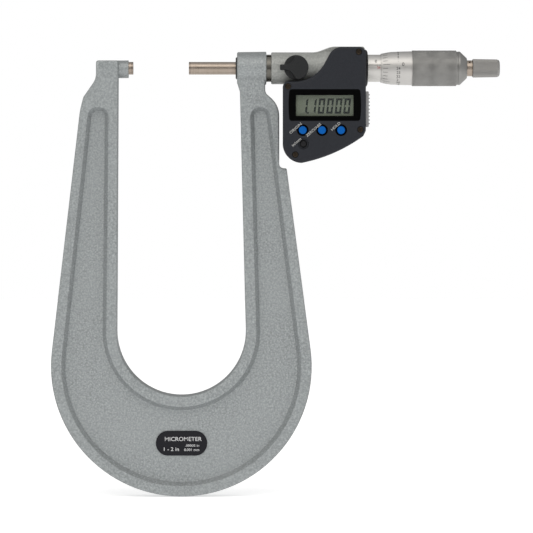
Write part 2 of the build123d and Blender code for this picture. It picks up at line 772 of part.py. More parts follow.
CAP_FACE = CASTING_BACK + 0.05
COIN_SLOT = (9.0, 1.5)
with BuildPart() as battery_cap:
    stud(BATTERY_X, BATTERY_Z, CAP_BACK, CAP_FACE, CAP_R)
    chamfer(battery_cap.faces().sort_by(FRONT_TO_BACK)[-1].edges(), 0.35)
    stud(BATTERY_X, BATTERY_Z, CAP_FACE, CAP_PLUG_FRONT, CAP_PLUG_R)
    with BuildSketch(Plane.XZ.offset(-CAP_BACK)):
        with Locations((BATTERY_X, BATTERY_Z)):
            SlotOverall(*COIN_SLOT)
    extrude(amount=0.9, mode=Mode.SUBTRACT)
    # groove for the seal ring
    groove_half = SEAL_WIRE_R + 0.08
    with BuildSketch(Plane.XZ.offset(-SEAL_Y - groove_half)):
        with Locations((BATTERY_X, BATTERY_Z)):
            Circle(CAP_PLUG_R)
            Circle(SEAL_R - groove_half, mode=Mode.SUBTRACT)
    extrude(amount=2 * groove_half, mode=Mode.SUBTRACT)
save(battery_cap, "battery_cap")

with BuildPart() as battery_cap_seal:
    with BuildSketch(Plane.XY.offset(BATTERY_Z)):
        with Locations((BATTERY_X + SEAL_R, SEAL_Y)):
            Circle(SEAL_WIRE_R)
    revolve(axis=Axis((BATTERY_X, SEAL_Y, BATTERY_Z), (0, 1, 0)))
save(battery_cap_seal, "battery_cap_seal")


# ---- Data port ------------------------------------------------------------------------------
with BuildPart() as data_socket:
    block(PORT_FLOOR - 1.8, PORT_END, PORT_BOTTOM, PORT_TOP, BOARD_FRONT, PORT_FRONT)
    block(
        PORT_FLOOR,
        PORT_END,
        PORT_BOTTOM + PORT_WALL,
        PORT_TOP - PORT_WALL,
        BOARD_FRONT - PORT_WALL,
        PORT_FRONT + PORT_WALL,
        mode=Mode.SUBTRACT,
    )
save(data_socket, "data_socket")

PIN_COUNT = 5
PIN_PITCH = 2.0
PORT_MIDDLE_Y = (PORT_FRONT + BOARD_FRONT) / 2
PORT_MIDDLE_Z = (PORT_TOP + PORT_BOTTOM) / 2
with BuildPart() as data_pins:
    with BuildSketch(Plane.YZ.offset(PORT_FLOOR)):
        with Locations((PORT_MIDDLE_Y, PORT_MIDDLE_Z)):
            with GridLocations(1, PIN_PITCH, 1, PIN_COUNT):
                Rectangle(0.6, 0.6)
    extrude(amount=2.4)
save(data_pins, "data_pins")

with BuildPart() as data_port_cap:
    middle_z = (PORT_CAP_TOP + PORT_CAP_BOTTOM) / 2
    height = PORT_CAP_TOP - PORT_CAP_BOTTOM
    with BuildSketch(Plane.YZ.offset(PORT_CAP_START)):
        with Locations((PORT_MIDDLE_Y, middle_z)):
            RectangleRounded(7.0, height, 1.2)
    extrude(amount=PORT_CAP_END - PORT_CAP_START)
    fillet(data_port_cap.faces().sort_by(SPINDLE_AXIS)[-1].edges(), 0.4)
    with BuildSketch(Plane.YZ.offset(PORT_CAP_END - 0.2)):
        with Locations((PORT_MIDDLE_Y, middle_z)):
            with GridLocations(1, (height - 1.6) / PORT_RIBS, 1, PORT_RIBS):
                Rectangle(5.4, 0.7)
    extrude(amount=0.65)
    # lip that closes the socket's mouth
    with BuildSketch(Plane.YZ.offset(PORT_CAP_START)):
        with Locations((PORT_MIDDLE_Y, PORT_MIDDLE_Z)):
            Rectangle(
                BOARD_FRONT - PORT_FRONT - 2 * PORT_WALL - 0.4,
                PORT_TOP - PORT_BOTTOM - 2 * PORT_WALL - 0.4,
            )
    extrude(amount=-0.9)
save(data_port_cap, "data_port_cap")


# ---- Spindle lock ---------------------------------------------------------------------------
with BuildPart() as lock_lever:
    stud(LEVER_X, LEVER_Z, LEVER_BACK, LEVER_STEP, LEVER_R)
    # raised right half, which narrows to the left into the finger nib
    with BuildSketch(Plane.XZ.offset(-LEVER_STEP)) as grip:
        with Locations((LEVER_X, LEVER_Z)):
            Circle(LEVER_R)
            Rectangle(LEVER_R, 2 * LEVER_R, align=(Align.MIN, Align.CENTER), mode=Mode.INTERSECT)
            Polygon(
                (0, LEVER_R),
                (-1.2, 4.0),
                (-5.0, 1.5),
                (-5.0, -1.5),
                (-1.2, -4.0),
                (0, -LEVER_R),
                align=None,
            )
    extrude(amount=LEVER_STEP - LEVER_FRONT)
    with BuildSketch(Plane.XZ.offset(-LEVER_BACK)) as nib:
        with Locations((LEVER_X - LEVER_NIB / 2, LEVER_Z)):
            RectangleRounded(LEVER_NIB, 3.1, 0.9)
    extrude(amount=LEVER_BACK - LEVER_FRONT)
    fillet(lock_lever.faces().sort_by(FRONT_TO_BACK)[0].outer_wire().edges(), 0.35)
save(lock_lever, "lock_lever")

with BuildPart() as lock_cam_pin:
    stud(LEVER_X, LEVER_Z, CAM_BACK, LEVER_BACK, CAM_R)
save(lock_cam_pin, "lock_cam_pin")

with BuildPart() as lever_washer:
    with BuildSketch(Plane.XZ.offset(-LEVER_SEAT)):
        with Locations((LEVER_X, LEVER_Z)):
            Circle(LEVER_WASHER_R)
            Circle(CAM_R + 0.2, mode=Mode.SUBTRACT)
    extrude(amount=0.15)
save(lever_washer, "lever_washer")

with BuildPart() as lock_plunger:
    stud(LEVER_X, LEVER_Z, PLUNGER_TIP, PLUNGER_FRONT, PLUNGER_R)
save(lock_plunger, "lock_plunger")


# ---- Encoder --------------------------------------------------------------------------------
KEY_HALF = 0.5
KEYWAY_GAP = 0.1
KEYWAY_START = 76.0
KEYWAY_FLOOR = 2.3
ROTOR_HUB_START = 99.5
ROTOR_DISC_START = 105.8
ROTOR_END = 107.0
ROTOR_HUB_R = 4.6
ROTOR_DISC_R = 6.6
KEY_START = 102.5
KEY_END = 105.0
KEY_HEIGHT_GAP = 0.15  # under the key, and over it
STATOR_START = 107.4
STATOR_END = 109.0
BUSH_START = 98.0
BUSH_END = 101.5
PRESSED_R = CHAMBER_R - 0.03
CLEAR_THREAD_R = THREAD_R + 0.4

with BuildPart() as encoder_stator:
    tube(STATOR_START, STATOR_END, PRESSED_R, CLEAR_THREAD_R)
save(encoder_stator, "encoder_stator")

with BuildPart() as encoder_rotor:
    tube(ROTOR_HUB_START, ROTOR_DISC_START, ROTOR_HUB_R, SPINDLE_BORE_R)
    tube(ROTOR_DISC_START, ROTOR_END, ROTOR_DISC_R, SPINDLE_BORE_R)
    with BuildSketch(Plane.YZ.offset(KEY_START)):
        with Locations((0, ROTOR_HUB_R)):
            Rectangle(2 * KEY_HALF, 2 * ROTOR_HUB_R - 5)
    extrude(amount=KEY_END - KEY_START, mode=Mode.SUBTRACT)
save(encoder_rotor, "encoder_rotor")

with BuildPart() as rotor_key:
    with BuildSketch(Plane.YZ.offset(KEY_START)):
        with Locations((0, (KEYWAY_FLOOR + ROTOR_HUB_R) / 2)):
            Rectangle(2 * KEY_HALF, ROTOR_HUB_R - KEYWAY_FLOOR - 2 * KEY_HEIGHT_GAP)
    extrude(amount=KEY_END - KEY_START)
save(rotor_key, "rotor_key")

with BuildPart() as rotor_bush:
    tube(BUSH_START, BUSH_END, PRESSED_R, ROTOR_HUB_R + RUNNING_GAP)
save(rotor_bush, "rotor_bush")

CABLE_HALF = 0.1
CABLE_TOP = -7.0
CABLE_TURN = -13.4
CABLE_WIDTH = 1.8
with BuildPart() as encoder_cable:
    # flat strip down through the slot, then forward to the board
    with BuildSketch(Plane.YZ.offset(STATOR_END)):
        with BuildLine():
            Polyline(
                (-CABLE_HALF, CABLE_TOP),
                (CABLE_HALF, CABLE_TOP),
                (CABLE_HALF, CABLE_TURN),
                (BOARD_BACK, CABLE_TURN),
                (BOARD_BACK, CABLE_TURN + 2 * CABLE_HALF),
                (-CABLE_HALF, CABLE_TURN + 2 * CABLE_HALF),
                close=True,
            )
        make_face()
    extrude(amount=CABLE_WIDTH)
save(encoder_cable, "encoder_cable")


# ---- Inner barrel, sleeve and collar --------------------------------------------------------
THREAD_BORE_R = THREAD_R + 0.05
NUT_SEAT_R = 4.6
BARREL_FLANGE_START = 111.0
SLIT_LENGTH = 9.0
with BuildPart() as inner_barrel:
    turned(
        [
            (BARREL_FLANGE_START, CLEAR_THREAD_R),
            (BARREL_FLANGE_START, PRESSED_R),
            (CHAMBER_END, PRESSED_R),
            (CHAMBER_END, INNER_BARREL_R),
            (NUT_SEAT_START, INNER_BARREL_R),
            (NUT_SEAT_START, NUT_SEAT_R),
            (INNER_BARREL_END, NUT_SEAT_R),
            (INNER_BARREL_END, THREAD_BORE_R),
            (NUT_SEAT_START, THREAD_BORE_R),
            (NUT_SEAT_START - 1, CLEAR_THREAD_R),
        ]
    )
    # slits that let the nut squeeze the thread
    with BuildSketch(Plane.YZ.offset(INNER_BARREL_END)):
        with PolarLocations(NUT_SEAT_R, 3):
            Rectangle(2.4, 0.7)
    extrude(amount=-SLIT_LENGTH, mode=Mode.SUBTRACT)
save(inner_barrel, "inner_barrel")

NUT_R = 5.2
NUT_END = 147.0
with BuildPart() as adjusting_nut:
    tube(NUT_END - 5, NUT_END, NUT_R, NUT_SEAT_R)
    with BuildSketch(Plane.YZ.offset(NUT_END)):
        with PolarLocations(NUT_R, 2):
            Rectangle(0.7, 1.2)
    extrude(amount=-1.5, mode=Mode.SUBTRACT)
save(adjusting_nut, "adjusting_nut")

with BuildPart() as collar_ring:
    nose_length = COLLAR_END - HOUSING_RIGHT
    nose_height = COLLAR_R - COLLAR_FACE_R
    nose_angles = [math.radians(angle) for angle in range(10, 91, 10)]
    turned(
        [
            (CHAMBER_END + 0.1, INNER_BARREL_R + 0.05),
            (CHAMBER_END + 0.1, PRESSED_R),
            (HOUSING_RIGHT, PRESSED_R),
            (HOUSING_RIGHT, COLLAR_R),
            *(
                (
                    HOUSING_RIGHT + nose_length * math.sin(angle),
                    COLLAR_FACE_R + nose_height * math.cos(angle),
                )
                for angle in nose_angles
            ),
            (COLLAR_END, SLEEVE_R + 0.1),
            (HOUSING_RIGHT + 0.1, SLEEVE_R + 0.1),
            (HOUSING_RIGHT + 0.1, INNER_BARREL_R + 0.05),
        ]
    )
save(collar_ring, "collar_ring")

with BuildPart() as sleeve:
    tube(SLEEVE_START, SLEEVE_END, SLEEVE_R, SLEEVE_BORE_R)
    # hole at the back for the hook spanner that sets zero
    with BuildSketch(Plane.XZ):
        with Locations((121.0, 0)):
            Circle(0.6)
    extrude(amount=-SLEEVE_R - 1, mode=Mode.SUBTRACT)
save(sleeve, "sleeve")


# ---- Spindle and thimble --------------------------------------------------------------------
with BuildPart() as spindle_tip:
    tube(READING, READING + TIP_LENGTH, SPINDLE_R)
save(spindle_tip, "spindle_tip")

STUD_R = 2.5
STUD_END = 166.5
with BuildPart() as spindle:
    turned(
        [
            (READING + TIP_LENGTH, 0),
            (READING + TIP_LENGTH, SPINDLE_R),
            (THREAD_START, SPINDLE_R),
            (THREAD_START, THREAD_R),
            (THREAD_END, THREAD_R),
            (THREAD_END, CONE_BIG_R),
            (CONE_START, CONE_BIG_R),
            (CONE_END, CONE_SMALL_R),
            (CONE_END, STUD_R),
            (STUD_END, STUD_R),
            (STUD_END, 0),
        ]
    )
    with BuildSketch(Plane.YZ.offset(KEYWAY_START)):
        with Locations((0, KEYWAY_FLOOR + 1)):
            Rectangle(2 * (KEY_HALF + KEYWAY_GAP), 2)
    extrude(amount=THREAD_START - KEYWAY_START, mode=Mode.SUBTRACT)
save(spindle, "spindle")

BASE_R = 3.5
with BuildPart() as thimble:
    turned(
        [
            (THIMBLE_EDGE, THIMBLE_BORE_R),
            (THIMBLE_EDGE, THIMBLE_EDGE_R),
            (THIMBLE_BEVEL_END, THIMBLE_BEVEL_R),
            (134.2, THIMBLE_BODY_R),
            (KNURL_START, 8.53),
            (KNURL_START, THIMBLE_R - 0.2),
            (KNURL_START + 0.2, THIMBLE_R),
            (KNURL_END - 0.2, THIMBLE_R),
            (KNURL_END, THIMBLE_R - 0.2),
            (KNURL_END, THIMBLE_BODY_R),
            (KNURL_END + 0.5, THIMBLE_BODY_R),
            (KNURL_END + 0.65, THIMBLE_BODY_R - 0.2),
            (KNURL_END + 0.8, THIMBLE_BODY_R),
            (164.1, THIMBLE_BODY_R),
            (THIMBLE_END - 0.3, 5.4),
            (THIMBLE_END, 5.1),
            (THIMBLE_END, BASE_R),
            (CONE_END, BASE_R),
            (CONE_END, CONE_SMALL_R),
            (CONE_START, CONE_BIG_R),
            (CONE_START, THIMBLE_BORE_R),
        ]
    )
save(thimble, "thimble")


# ---- Ratchet stop ---------------------------------------------------------------------------
NECK_R = 4.0
NECK_END = RATCHET_START - 0.1
with BuildPart() as ratchet_base:
    tube(CONE_END + 0.1, THIMBLE_END + 0.1, BASE_R, STUD_R)
    tube(THIMBLE_END + 0.1, NECK_END, NECK_R, RATCHET_SCREW_R)
    # spanner hole, seen on the upper front of the neck
    hole_angle = math.radians(50)
    outward = (0, -math.cos(hole_angle), math.sin(hole_angle))
    hole_plane = Plane(origin=(168.9, 0, 0), x_dir=(1, 0, 0), z_dir=outward).offset(2.6)
    with BuildSketch(hole_plane):
        Circle(0.55)
    extrude(amount=2, mode=Mode.SUBTRACT)
save(ratchet_base, "ratchet_base")

TEETH = 12
with BuildPart() as ratchet_clutch_plate:
    tube(RATCHET_START + 0.3, RATCHET_START + 1.9, 3.7, RATCHET_SCREW_R)
    # shallow radial teeth on the face towards the knob
    with BuildSketch(Plane.YZ.offset(RATCHET_START + 1.9)):
        with PolarLocations(3.1, TEETH):
            Rectangle(1.6, 0.6)
    extrude(amount=-0.4, mode=Mode.SUBTRACT)
save(ratchet_clutch_plate, "ratchet_clutch_plate")

SPRING_ROOM_R = 2.9
with BuildPart() as ratchet_knob:
    turned(
        [
            (RATCHET_START + 0.1, RATCHET_R - 0.7),
            (RATCHET_START + 0.1, RATCHET_R - 0.3),
            (RATCHET_START + 0.4, RATCHET_R),
            (RATCHET_END - 0.9, RATCHET_R - 0.2),
            (RATCHET_END - 0.3, RATCHET_R - 0.6),
            (RATCHET_END, RATCHET_R - 1.3),
            (RATCHET_END, SPRING_ROOM_R),
            (RATCHET_WEB_END, SPRING_ROOM_R),
            (RATCHET_WEB_END, RATCHET_SCREW_R + RUNNING_GAP),
            (RATCHET_WEB_START, RATCHET_SCREW_R + RUNNING_GAP),
            (RATCHET_WEB_START, RATCHET_R - 0.7),
        ]
    )
save(ratchet_knob, "ratchet_knob")

SCREW_HEAD_START = 181.0
with BuildPart() as ratchet_screw:
    tube(STUD_END + 0.5, SCREW_HEAD_START, RATCHET_SCREW_R)
    tube(SCREW_HEAD_START, SCREW_HEAD_START + 1.8, 2.5)
    with BuildSketch(Plane.YZ.offset(SCREW_HEAD_START + 1.8)):
        Rectangle(0.8, 5.2)
    extrude(amount=-0.7, mode=Mode.SUBTRACT)
save(ratchet_screw, "ratchet_screw")

SPRING_R = 2.15
SPRING_WIRE_R = 0.28
SPRING_START = RATCHET_WEB_END + SPRING_WIRE_R + 0.1
SPRING_LENGTH = SCREW_HEAD_START - SPRING_WIRE_R - SPRING_START
with BuildPart() as ratchet_spring:
    with BuildLine():
        coil = Helix(
            pitch=SPRING_LENGTH / 5,
            height=SPRING_LENGTH,
            radius=SPRING_R,
            center=(SPRING_START, 0, 0),
            direction=(1, 0, 0),
        )
    with BuildSketch(Plane(origin=coil @ 0, z_dir=coil % 0)):
        Circle(SPRING_WIRE_R)
    sweep()
save(ratchet_spring, "ratchet_spring")
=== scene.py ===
"""Looks of the deep-throat outside micrometer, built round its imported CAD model.

Metres, in the CAD frame: the origin is the centre of the anvil's measuring face, +X runs along the
spindle towards the ratchet, +Z is up and the display faces -Y.
"""

import json
import math

import bmesh
import bpy
from mathutils import Matrix, Vector


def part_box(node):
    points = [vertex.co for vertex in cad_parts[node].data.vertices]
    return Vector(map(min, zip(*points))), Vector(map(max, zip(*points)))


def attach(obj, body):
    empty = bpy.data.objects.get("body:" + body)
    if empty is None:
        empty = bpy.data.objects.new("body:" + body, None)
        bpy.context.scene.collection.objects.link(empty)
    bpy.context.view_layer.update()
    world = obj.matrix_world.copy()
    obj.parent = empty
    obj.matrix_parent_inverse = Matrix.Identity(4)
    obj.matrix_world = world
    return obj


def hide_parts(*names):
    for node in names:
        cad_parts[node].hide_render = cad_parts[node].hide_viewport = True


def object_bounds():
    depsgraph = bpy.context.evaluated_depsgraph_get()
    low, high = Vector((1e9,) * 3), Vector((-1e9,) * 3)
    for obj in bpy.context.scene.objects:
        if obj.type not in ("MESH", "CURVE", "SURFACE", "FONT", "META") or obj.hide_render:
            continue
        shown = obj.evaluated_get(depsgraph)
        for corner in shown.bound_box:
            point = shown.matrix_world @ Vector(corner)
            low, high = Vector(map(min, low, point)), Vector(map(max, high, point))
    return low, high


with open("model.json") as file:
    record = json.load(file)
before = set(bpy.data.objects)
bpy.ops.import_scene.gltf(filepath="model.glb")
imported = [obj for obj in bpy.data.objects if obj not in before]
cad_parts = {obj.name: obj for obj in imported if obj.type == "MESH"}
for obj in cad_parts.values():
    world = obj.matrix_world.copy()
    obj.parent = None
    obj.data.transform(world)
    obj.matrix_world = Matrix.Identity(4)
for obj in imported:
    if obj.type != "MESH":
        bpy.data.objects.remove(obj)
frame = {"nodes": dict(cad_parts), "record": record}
nodes = frame["nodes"]
cad_low, cad_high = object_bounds()

MM = 0.001
INCH = 25.4 * MM
TURN = 2 * math.pi

thimble_low, thimble_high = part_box("thimble")
THIMBLE_EDGE = thimble_low.x
KNURL_START = THIMBLE_EDGE + 15.7 * MM


# ---- Node trees -----------------------------------------------------------------------------
class Finish:
    """A material with a Principled shader, and short calls for the nodes that finishes share."""

    def __init__(self, name, **sockets):
        self.material = bpy.data.materials.new(name)
        self.material.use_nodes = True
        self.tree = self.material.node_tree
        self.shader = self.tree.nodes["Principled BSDF"]
        for socket, value in sockets.items():
            self.shader.inputs[socket.replace("_", " ")].default_value = value
        coordinates = self.tree.nodes.new("ShaderNodeTexCoord")
        self.place = coordinates.outputs["Object"]

    def link(self, output, socket):
        self.tree.links.new(output, socket)

    def stretched(self, x, y, z):
        """The object's own coordinates, with each axis scaled."""
        mapping = self.tree.nodes.new("ShaderNodeMapping")
        mapping.inputs["Scale"].default_value = (x, y, z)
        self.link(self.place, mapping.inputs["Vector"])
        return mapping.outputs["Vector"]

    def noise(self, scale, detail=3.0, roughness=0.5, place=None):
        node = self.tree.nodes.new("ShaderNodeTexNoise")
        node.inputs["Scale"].default_value = scale
        node.inputs["Detail"].default_value = detail
        node.inputs["Roughness"].default_value = roughness
        self.link(place or self.place, node.inputs["Vector"])
        return node.outputs["Fac"]

    def cells(self, scale):
        node = self.tree.nodes.new("ShaderNodeTexVoronoi")
        node.feature = "SMOOTH_F1"
        node.inputs["Scale"].default_value = scale
        node.inputs["Smoothness"].default_value = 1.0
        self.link(self.place, node.inputs["Vector"])
        return node.outputs["Distance"]

    def turned_away(self, most):
        """Painted shade: 0 on faces that look along Y, rising to most on the radii and slopes between
        them, which are darkened as if less lit.
        """
        surface = self.tree.nodes.new("ShaderNodeNewGeometry")
        parts = self.tree.nodes.new("ShaderNodeSeparateXYZ")
        self.link(surface.outputs["Normal"], parts.inputs["Vector"])
        level = self.tree.nodes.new("ShaderNodeMath")
        level.operation = "ABSOLUTE"
        self.link(parts.outputs["Y"], level.inputs[0])
        steep, flat = 0.6, 0.97
        return self.span(level.outputs["Value"], steep, flat, most, 0)

    def along(self, axis):
        """The position along one axis of the object's own coordinates, in metres."""
        parts = self.tree.nodes.new("ShaderNodeSeparateXYZ")
        self.link(self.place, parts.inputs["Vector"])
        return parts.outputs[axis]

    def span(self, value, low, high, to_low, to_high):
        """value, mapped from low..high to to_low..to_high."""
        node = self.tree.nodes.new("ShaderNodeMapRange")
        for socket, number in zip(node.inputs[1:5], (low, high, to_low, to_high)):
            socket.default_value = number
        self.link(value, node.inputs["Value"])
        return node.outputs["Result"]

    def mix(self, factor, first, second):
        """A colour between first and second. Each is a colour, or the output of another node."""
        node = self.tree.nodes.new("ShaderNodeMix")
        node.data_type = "RGBA"
        self.link(factor, node.inputs["Factor"])
        for socket, colour in ((node.inputs[6], first), (node.inputs[7], second)):
            if isinstance(colour, tuple):
                socket.default_value = (*colour, 1.0)
            else:
                self.link(colour, socket)
        return node.outputs[2]

    def colour(self, output):
        self.link(output, self.shader.inputs["Base Color"])

    def roughness(self, output):
        self.link(output, self.shader.inputs["Roughness"])

    def bump(self, height, distance, strength):
        """Adds a relief of that height, in metres, over any that is there already."""
        node = self.tree.nodes.new("ShaderNodeBump")
        node.inputs["Distance"].default_value = distance
        node.inputs["Strength"].default_value = strength
        self.link(height, node.inputs["Height"])
        normal = self.shader.inputs["Normal"]
        if normal.is_linked:
            self.link(normal.links[0].from_socket, node.inputs["Normal"])
        self.link(node.outputs["Normal"], normal)


# ---- Finishes -------------------------------------------------------------------------------
def hammered_paint(name, dark, light, slope_shade_share=0.38):
    """Grey hammer-finish enamel: small dimples, flakes of two greys and slow clouding, with painted
    shade on its slopes and radii.
    """
    finish = Finish(name, Metallic=0.15, Coat_Weight=0.15, Coat_Roughness=0.3)
    dimples = finish.cells(1100)
    flakes = finish.noise(1250, detail=3, roughness=0.75)
    clouds = finish.noise(30, detail=2)
    mottled = finish.mix(finish.span(flakes, 0.34, 0.68, 0, 1), dark, light)
    shade = tuple(0.86 * c for c in dark)
    pooled = finish.mix(finish.span(dimples, 0.25, 0.75, 0, 0.7), mottled, shade)
    tint = tuple(0.5 * (a + b) for a, b in zip(dark, light))
    even = finish.mix(finish.span(clouds, 0.35, 0.65, 0, 0.35), pooled, tint)
    # Painted shade: slopes and radii are mixed towards this darker grey, as if the light fell less on
    # them.
    deep = tuple(0.4 * c for c in dark)
    finish.colour(finish.mix(finish.turned_away(slope_shade_share), even, deep))
    finish.roughness(finish.span(flakes, 0.3, 0.7, 0.4, 0.55))
    finish.bump(dimples, 0.10 * MM, 0.55)
    finish.bump(flakes, 0.03 * MM, 0.5)
    return finish.material


def turned_metal(name, dark, light, rough):
    """Metal turned or ground about the spindle axis: fine rings and slow uneven brightness."""
    finish = Finish(name, Metallic=1.0)
    rings = finish.noise(1.0, detail=5, roughness=0.7, place=finish.stretched(900, 60, 60))
    wear = finish.noise(140, detail=4, roughness=0.6)
    finish.colour(finish.mix(finish.span(rings, 0.3, 0.7, 0, 1), dark, light))
    finish.roughness(finish.span(wear, 0.3, 0.7, rough - 0.05, rough + 0.07))
    finish.bump(rings, 0.001 * MM, 0.6)
    return finish.material


def satin_chrome(name, dark, light, rough, grip_start=None, knurl_shade=None):
    """Satin chrome: almost even, with a fine blasted grain and faint handling marks. From
    grip_start along X it takes a darker colour, painted shade for the knurling and the end past it."""
    finish = Finish(name, Metallic=1.0)
    grain = finish.noise(5200, detail=2)
    marks = finish.noise(260, detail=5, roughness=0.7)
    chrome = finish.mix(finish.span(marks, 0.35, 0.65, 0, 1), dark, light)
    # Painted shade: from grip_start on, the chrome is mixed towards a darker colour over the knurl and
    # the thimble's end.
    if knurl_shade:
        onset = finish.span(finish.along("X"), grip_start, grip_start + 0.1 * MM, 0, 1)
        chrome = finish.mix(onset, chrome, knurl_shade)
    finish.colour(chrome)
    finish.roughness(finish.span(marks, 0.3, 0.7, rough - 0.04, rough + 0.06))
    finish.bump(grain, 0.004 * MM, 0.5)
    return finish.material


def moulded_plastic(name, dark, light, rough, relief=0.012, **sockets):
    """Moulded plastic with a fine spark-eroded grain, relief mm deep, and rubbed patches."""
    finish = Finish(name, **sockets)
    texture = finish.noise(2400, detail=4, roughness=0.6)
    rubbed = finish.noise(90, detail=3)
    finish.colour(finish.mix(finish.span(texture, 0.3, 0.7, 0, 1), dark, light))
    finish.roughness(finish.span(rubbed, 0.35, 0.65, rough - 0.05, rough + 0.05))
    finish.bump(texture, relief * MM, 0.6)
    return finish.material


def rubber(name, dark, light):
    """Matt rubber with a powdery speckle."""
    finish = Finish(name, Sheen_Weight=0.08)
    speckle = finish.noise(1800, detail=5, roughness=0.7)
    finish.colour(finish.mix(finish.span(speckle, 0.3, 0.7, 0, 1), dark, light))
    finish.roughness(finish.span(speckle, 0.3, 0.7, 0.6, 0.75))
    finish.bump(speckle, 0.01 * MM, 0.5)
    return finish.material


def liquid_crystal(name):
    """Reflective grey-green display, with painted shade making it a little darker towards the top."""
    finish = Finish(name, Specular_IOR_Level=0.3)
    low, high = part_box("lcd_panel")
    # Painted shade: the colour darkens from the bottom of the panel to its top.
    rise = finish.span(finish.along("Z"), low.z, high.z, 0, 1)
    base = finish.mix(rise, (0.185, 0.212, 0.160), (0.170, 0.195, 0.150))
    grain = finish.noise(3200, detail=2)
    finish.colour(finish.mix(finish.span(grain, 0.3, 0.7, 0, 0.3), base, (0.16, 0.185, 0.14)))
    finish.roughness(finish.span(grain, 0.3, 0.7, 0.45, 0.6))
    return finish.material


def clear_window(name):
    """Thin scratch-resistant window over the display."""
    finish = Finish(name, Roughness=0.06, Alpha=0.06, Specular_IOR_Level=0.3)
    haze = finish.noise(400, detail=3)
    finish.colour(finish.mix(haze, (0.06, 0.07, 0.06), (0.10, 0.11, 0.10)))
    return finish.material


def print_ink(name, dark, light, rough=0.55):
    """Printed or paint-filled marks, slightly uneven."""
    finish = Finish(name)
    patches = finish.noise(2600, detail=4, roughness=0.7)
    finish.colour(finish.mix(finish.span(patches, 0.3, 0.7, 0, 1), dark, light))
    finish.roughness(finish.span(patches, 0.3, 0.7, rough - 0.08, rough + 0.08))
    return finish.material


def laminate(name):
    """Green circuit board with a faint weave."""
    finish = Finish(name, Coat_Weight=0.3)
    weave = finish.cells(1400)
    finish.colour(finish.mix(weave, (0.01, 0.10, 0.05), (0.03, 0.18, 0.09)))
    finish.roughness(finish.span(weave, 0.0, 1.0, 0.3, 0.45))
    return finish.material


FINISHES = {
    # Both enamels carry painted shade on their slopes and radii; the head's share of it is 0.1.
    "frame_paint": hammered_paint("hammered_enamel", (0.215, 0.232, 0.235), (0.445, 0.475, 0.485)),
    "head_paint": hammered_paint("head_enamel", (0.26, 0.268, 0.255), (0.42, 0.43, 0.41), 0.1),
    "cover_plastic": moulded_plastic(
        "charcoal_grain",
        (0.019, 0.021, 0.026),
        (0.026, 0.028, 0.034),
        0.5,
        Specular_IOR_Level=0.15,
    ),
    "bezel_black": moulded_plastic(
        "bezel_black",
        (0.001, 0.001, 0.001),
        (0.002, 0.002, 0.002),
        0.5,
        relief=0.003,
        Specular_IOR_Level=0.02,
    ),
    "clear_window": clear_window("clear_window"),
    "lcd": liquid_crystal("liquid_crystal"),
    "button_blue": moulded_plastic(
        "button_blue",
        (0.001, 0.088, 0.36),
        (0.001, 0.108, 0.43),
        0.5,
        relief=0.006,
        Specular_IOR_Level=0.1,
    ),
    "button_dark": moulded_plastic(
        "button_dark", (0.011, 0.011, 0.012), (0.016, 0.016, 0.018), 0.5, Specular_IOR_Level=0.15
    ),
    "lever_plastic": moulded_plastic(
        "lever_charcoal", (0.016, 0.017, 0.018), (0.023, 0.024, 0.025), 0.5, Specular_IOR_Level=0.2
    ),
    "collar_black": moulded_plastic(
        "collar_black", (0.005, 0.005, 0.006), (0.008, 0.008, 0.009), 0.45, Specular_IOR_Level=0.15
    ),
    "port_cap_grey": moulded_plastic("port_cap_grey", (0.24, 0.24, 0.245), (0.30, 0.30, 0.305), 0.5),
    "cap_plastic": moulded_plastic("cap_charcoal", (0.022, 0.022, 0.024), (0.03, 0.03, 0.033), 0.5),
    "black_plastic": moulded_plastic(
        "black_plastic", (0.008, 0.008, 0.008), (0.014, 0.014, 0.014), 0.5, Specular_IOR_Level=0.3
    ),
    "black_rubber": rubber("black_rubber", (0.010, 0.010, 0.010), (0.017, 0.016, 0.016)),
    "plate_black": moulded_plastic(
        "plate_black",
        (0.010, 0.010, 0.013),
        (0.016, 0.016, 0.020),
        0.42,
        relief=0.005,
        Specular_IOR_Level=0.15,
    ),
    "ground_steel": turned_metal("ground_steel", (0.32, 0.27, 0.225), (0.385, 0.325, 0.275), 0.36),
    "satin_steel": turned_metal("satin_steel", (0.13, 0.125, 0.112), (0.175, 0.168, 0.15), 0.42),
    "screw_steel": satin_chrome("burnished_screw", (0.030, 0.024, 0.018), (0.060, 0.046, 0.034), 0.45),
    "spring_steel": satin_chrome("spring_steel", (0.40, 0.40, 0.40), (0.5, 0.5, 0.5), 0.3),
    "battery_steel": satin_chrome("battery_steel", (0.6, 0.6, 0.6), (0.7, 0.7, 0.7), 0.3),
    "carbide": turned_metal("lapped_carbide", (0.24, 0.20, 0.17), (0.30, 0.255, 0.22), 0.34),
    "thimble_chrome": satin_chrome(
        "thimble_chrome",
        (0.50, 0.49, 0.475),
        (0.535, 0.525, 0.51),
        0.48,
        grip_start=KNURL_START,
        # Painted shade over the knurl and the thimble's end.
        knurl_shade=(0.27, 0.268, 0.26),
    ),
    "sleeve_chrome": satin_chrome("sleeve_chrome", (0.55, 0.54, 0.52), (0.59, 0.58, 0.56), 0.46),
    "ratchet_chrome": satin_chrome(
        "ratchet_chrome", (0.285, 0.28, 0.27), (0.31, 0.305, 0.295), 0.5
    ),
    "contact_brass": satin_chrome("contact_brass", (0.55, 0.38, 0.14), (0.68, 0.50, 0.22), 0.3),
    "board": laminate("board_laminate"),
}
INK_BLACK = print_ink("graduation_black", (0.05, 0.05, 0.05), (0.08, 0.08, 0.08))
INK_RED = print_ink("graduation_red", (0.35, 0.02, 0.02), (0.45, 0.04, 0.03))
INK_PALE = print_ink("label_grey", (0.36, 0.36, 0.35), (0.46, 0.46, 0.45))
INK_PLATE = print_ink("plate_print", (0.55, 0.55, 0.56), (0.68, 0.68, 0.69))
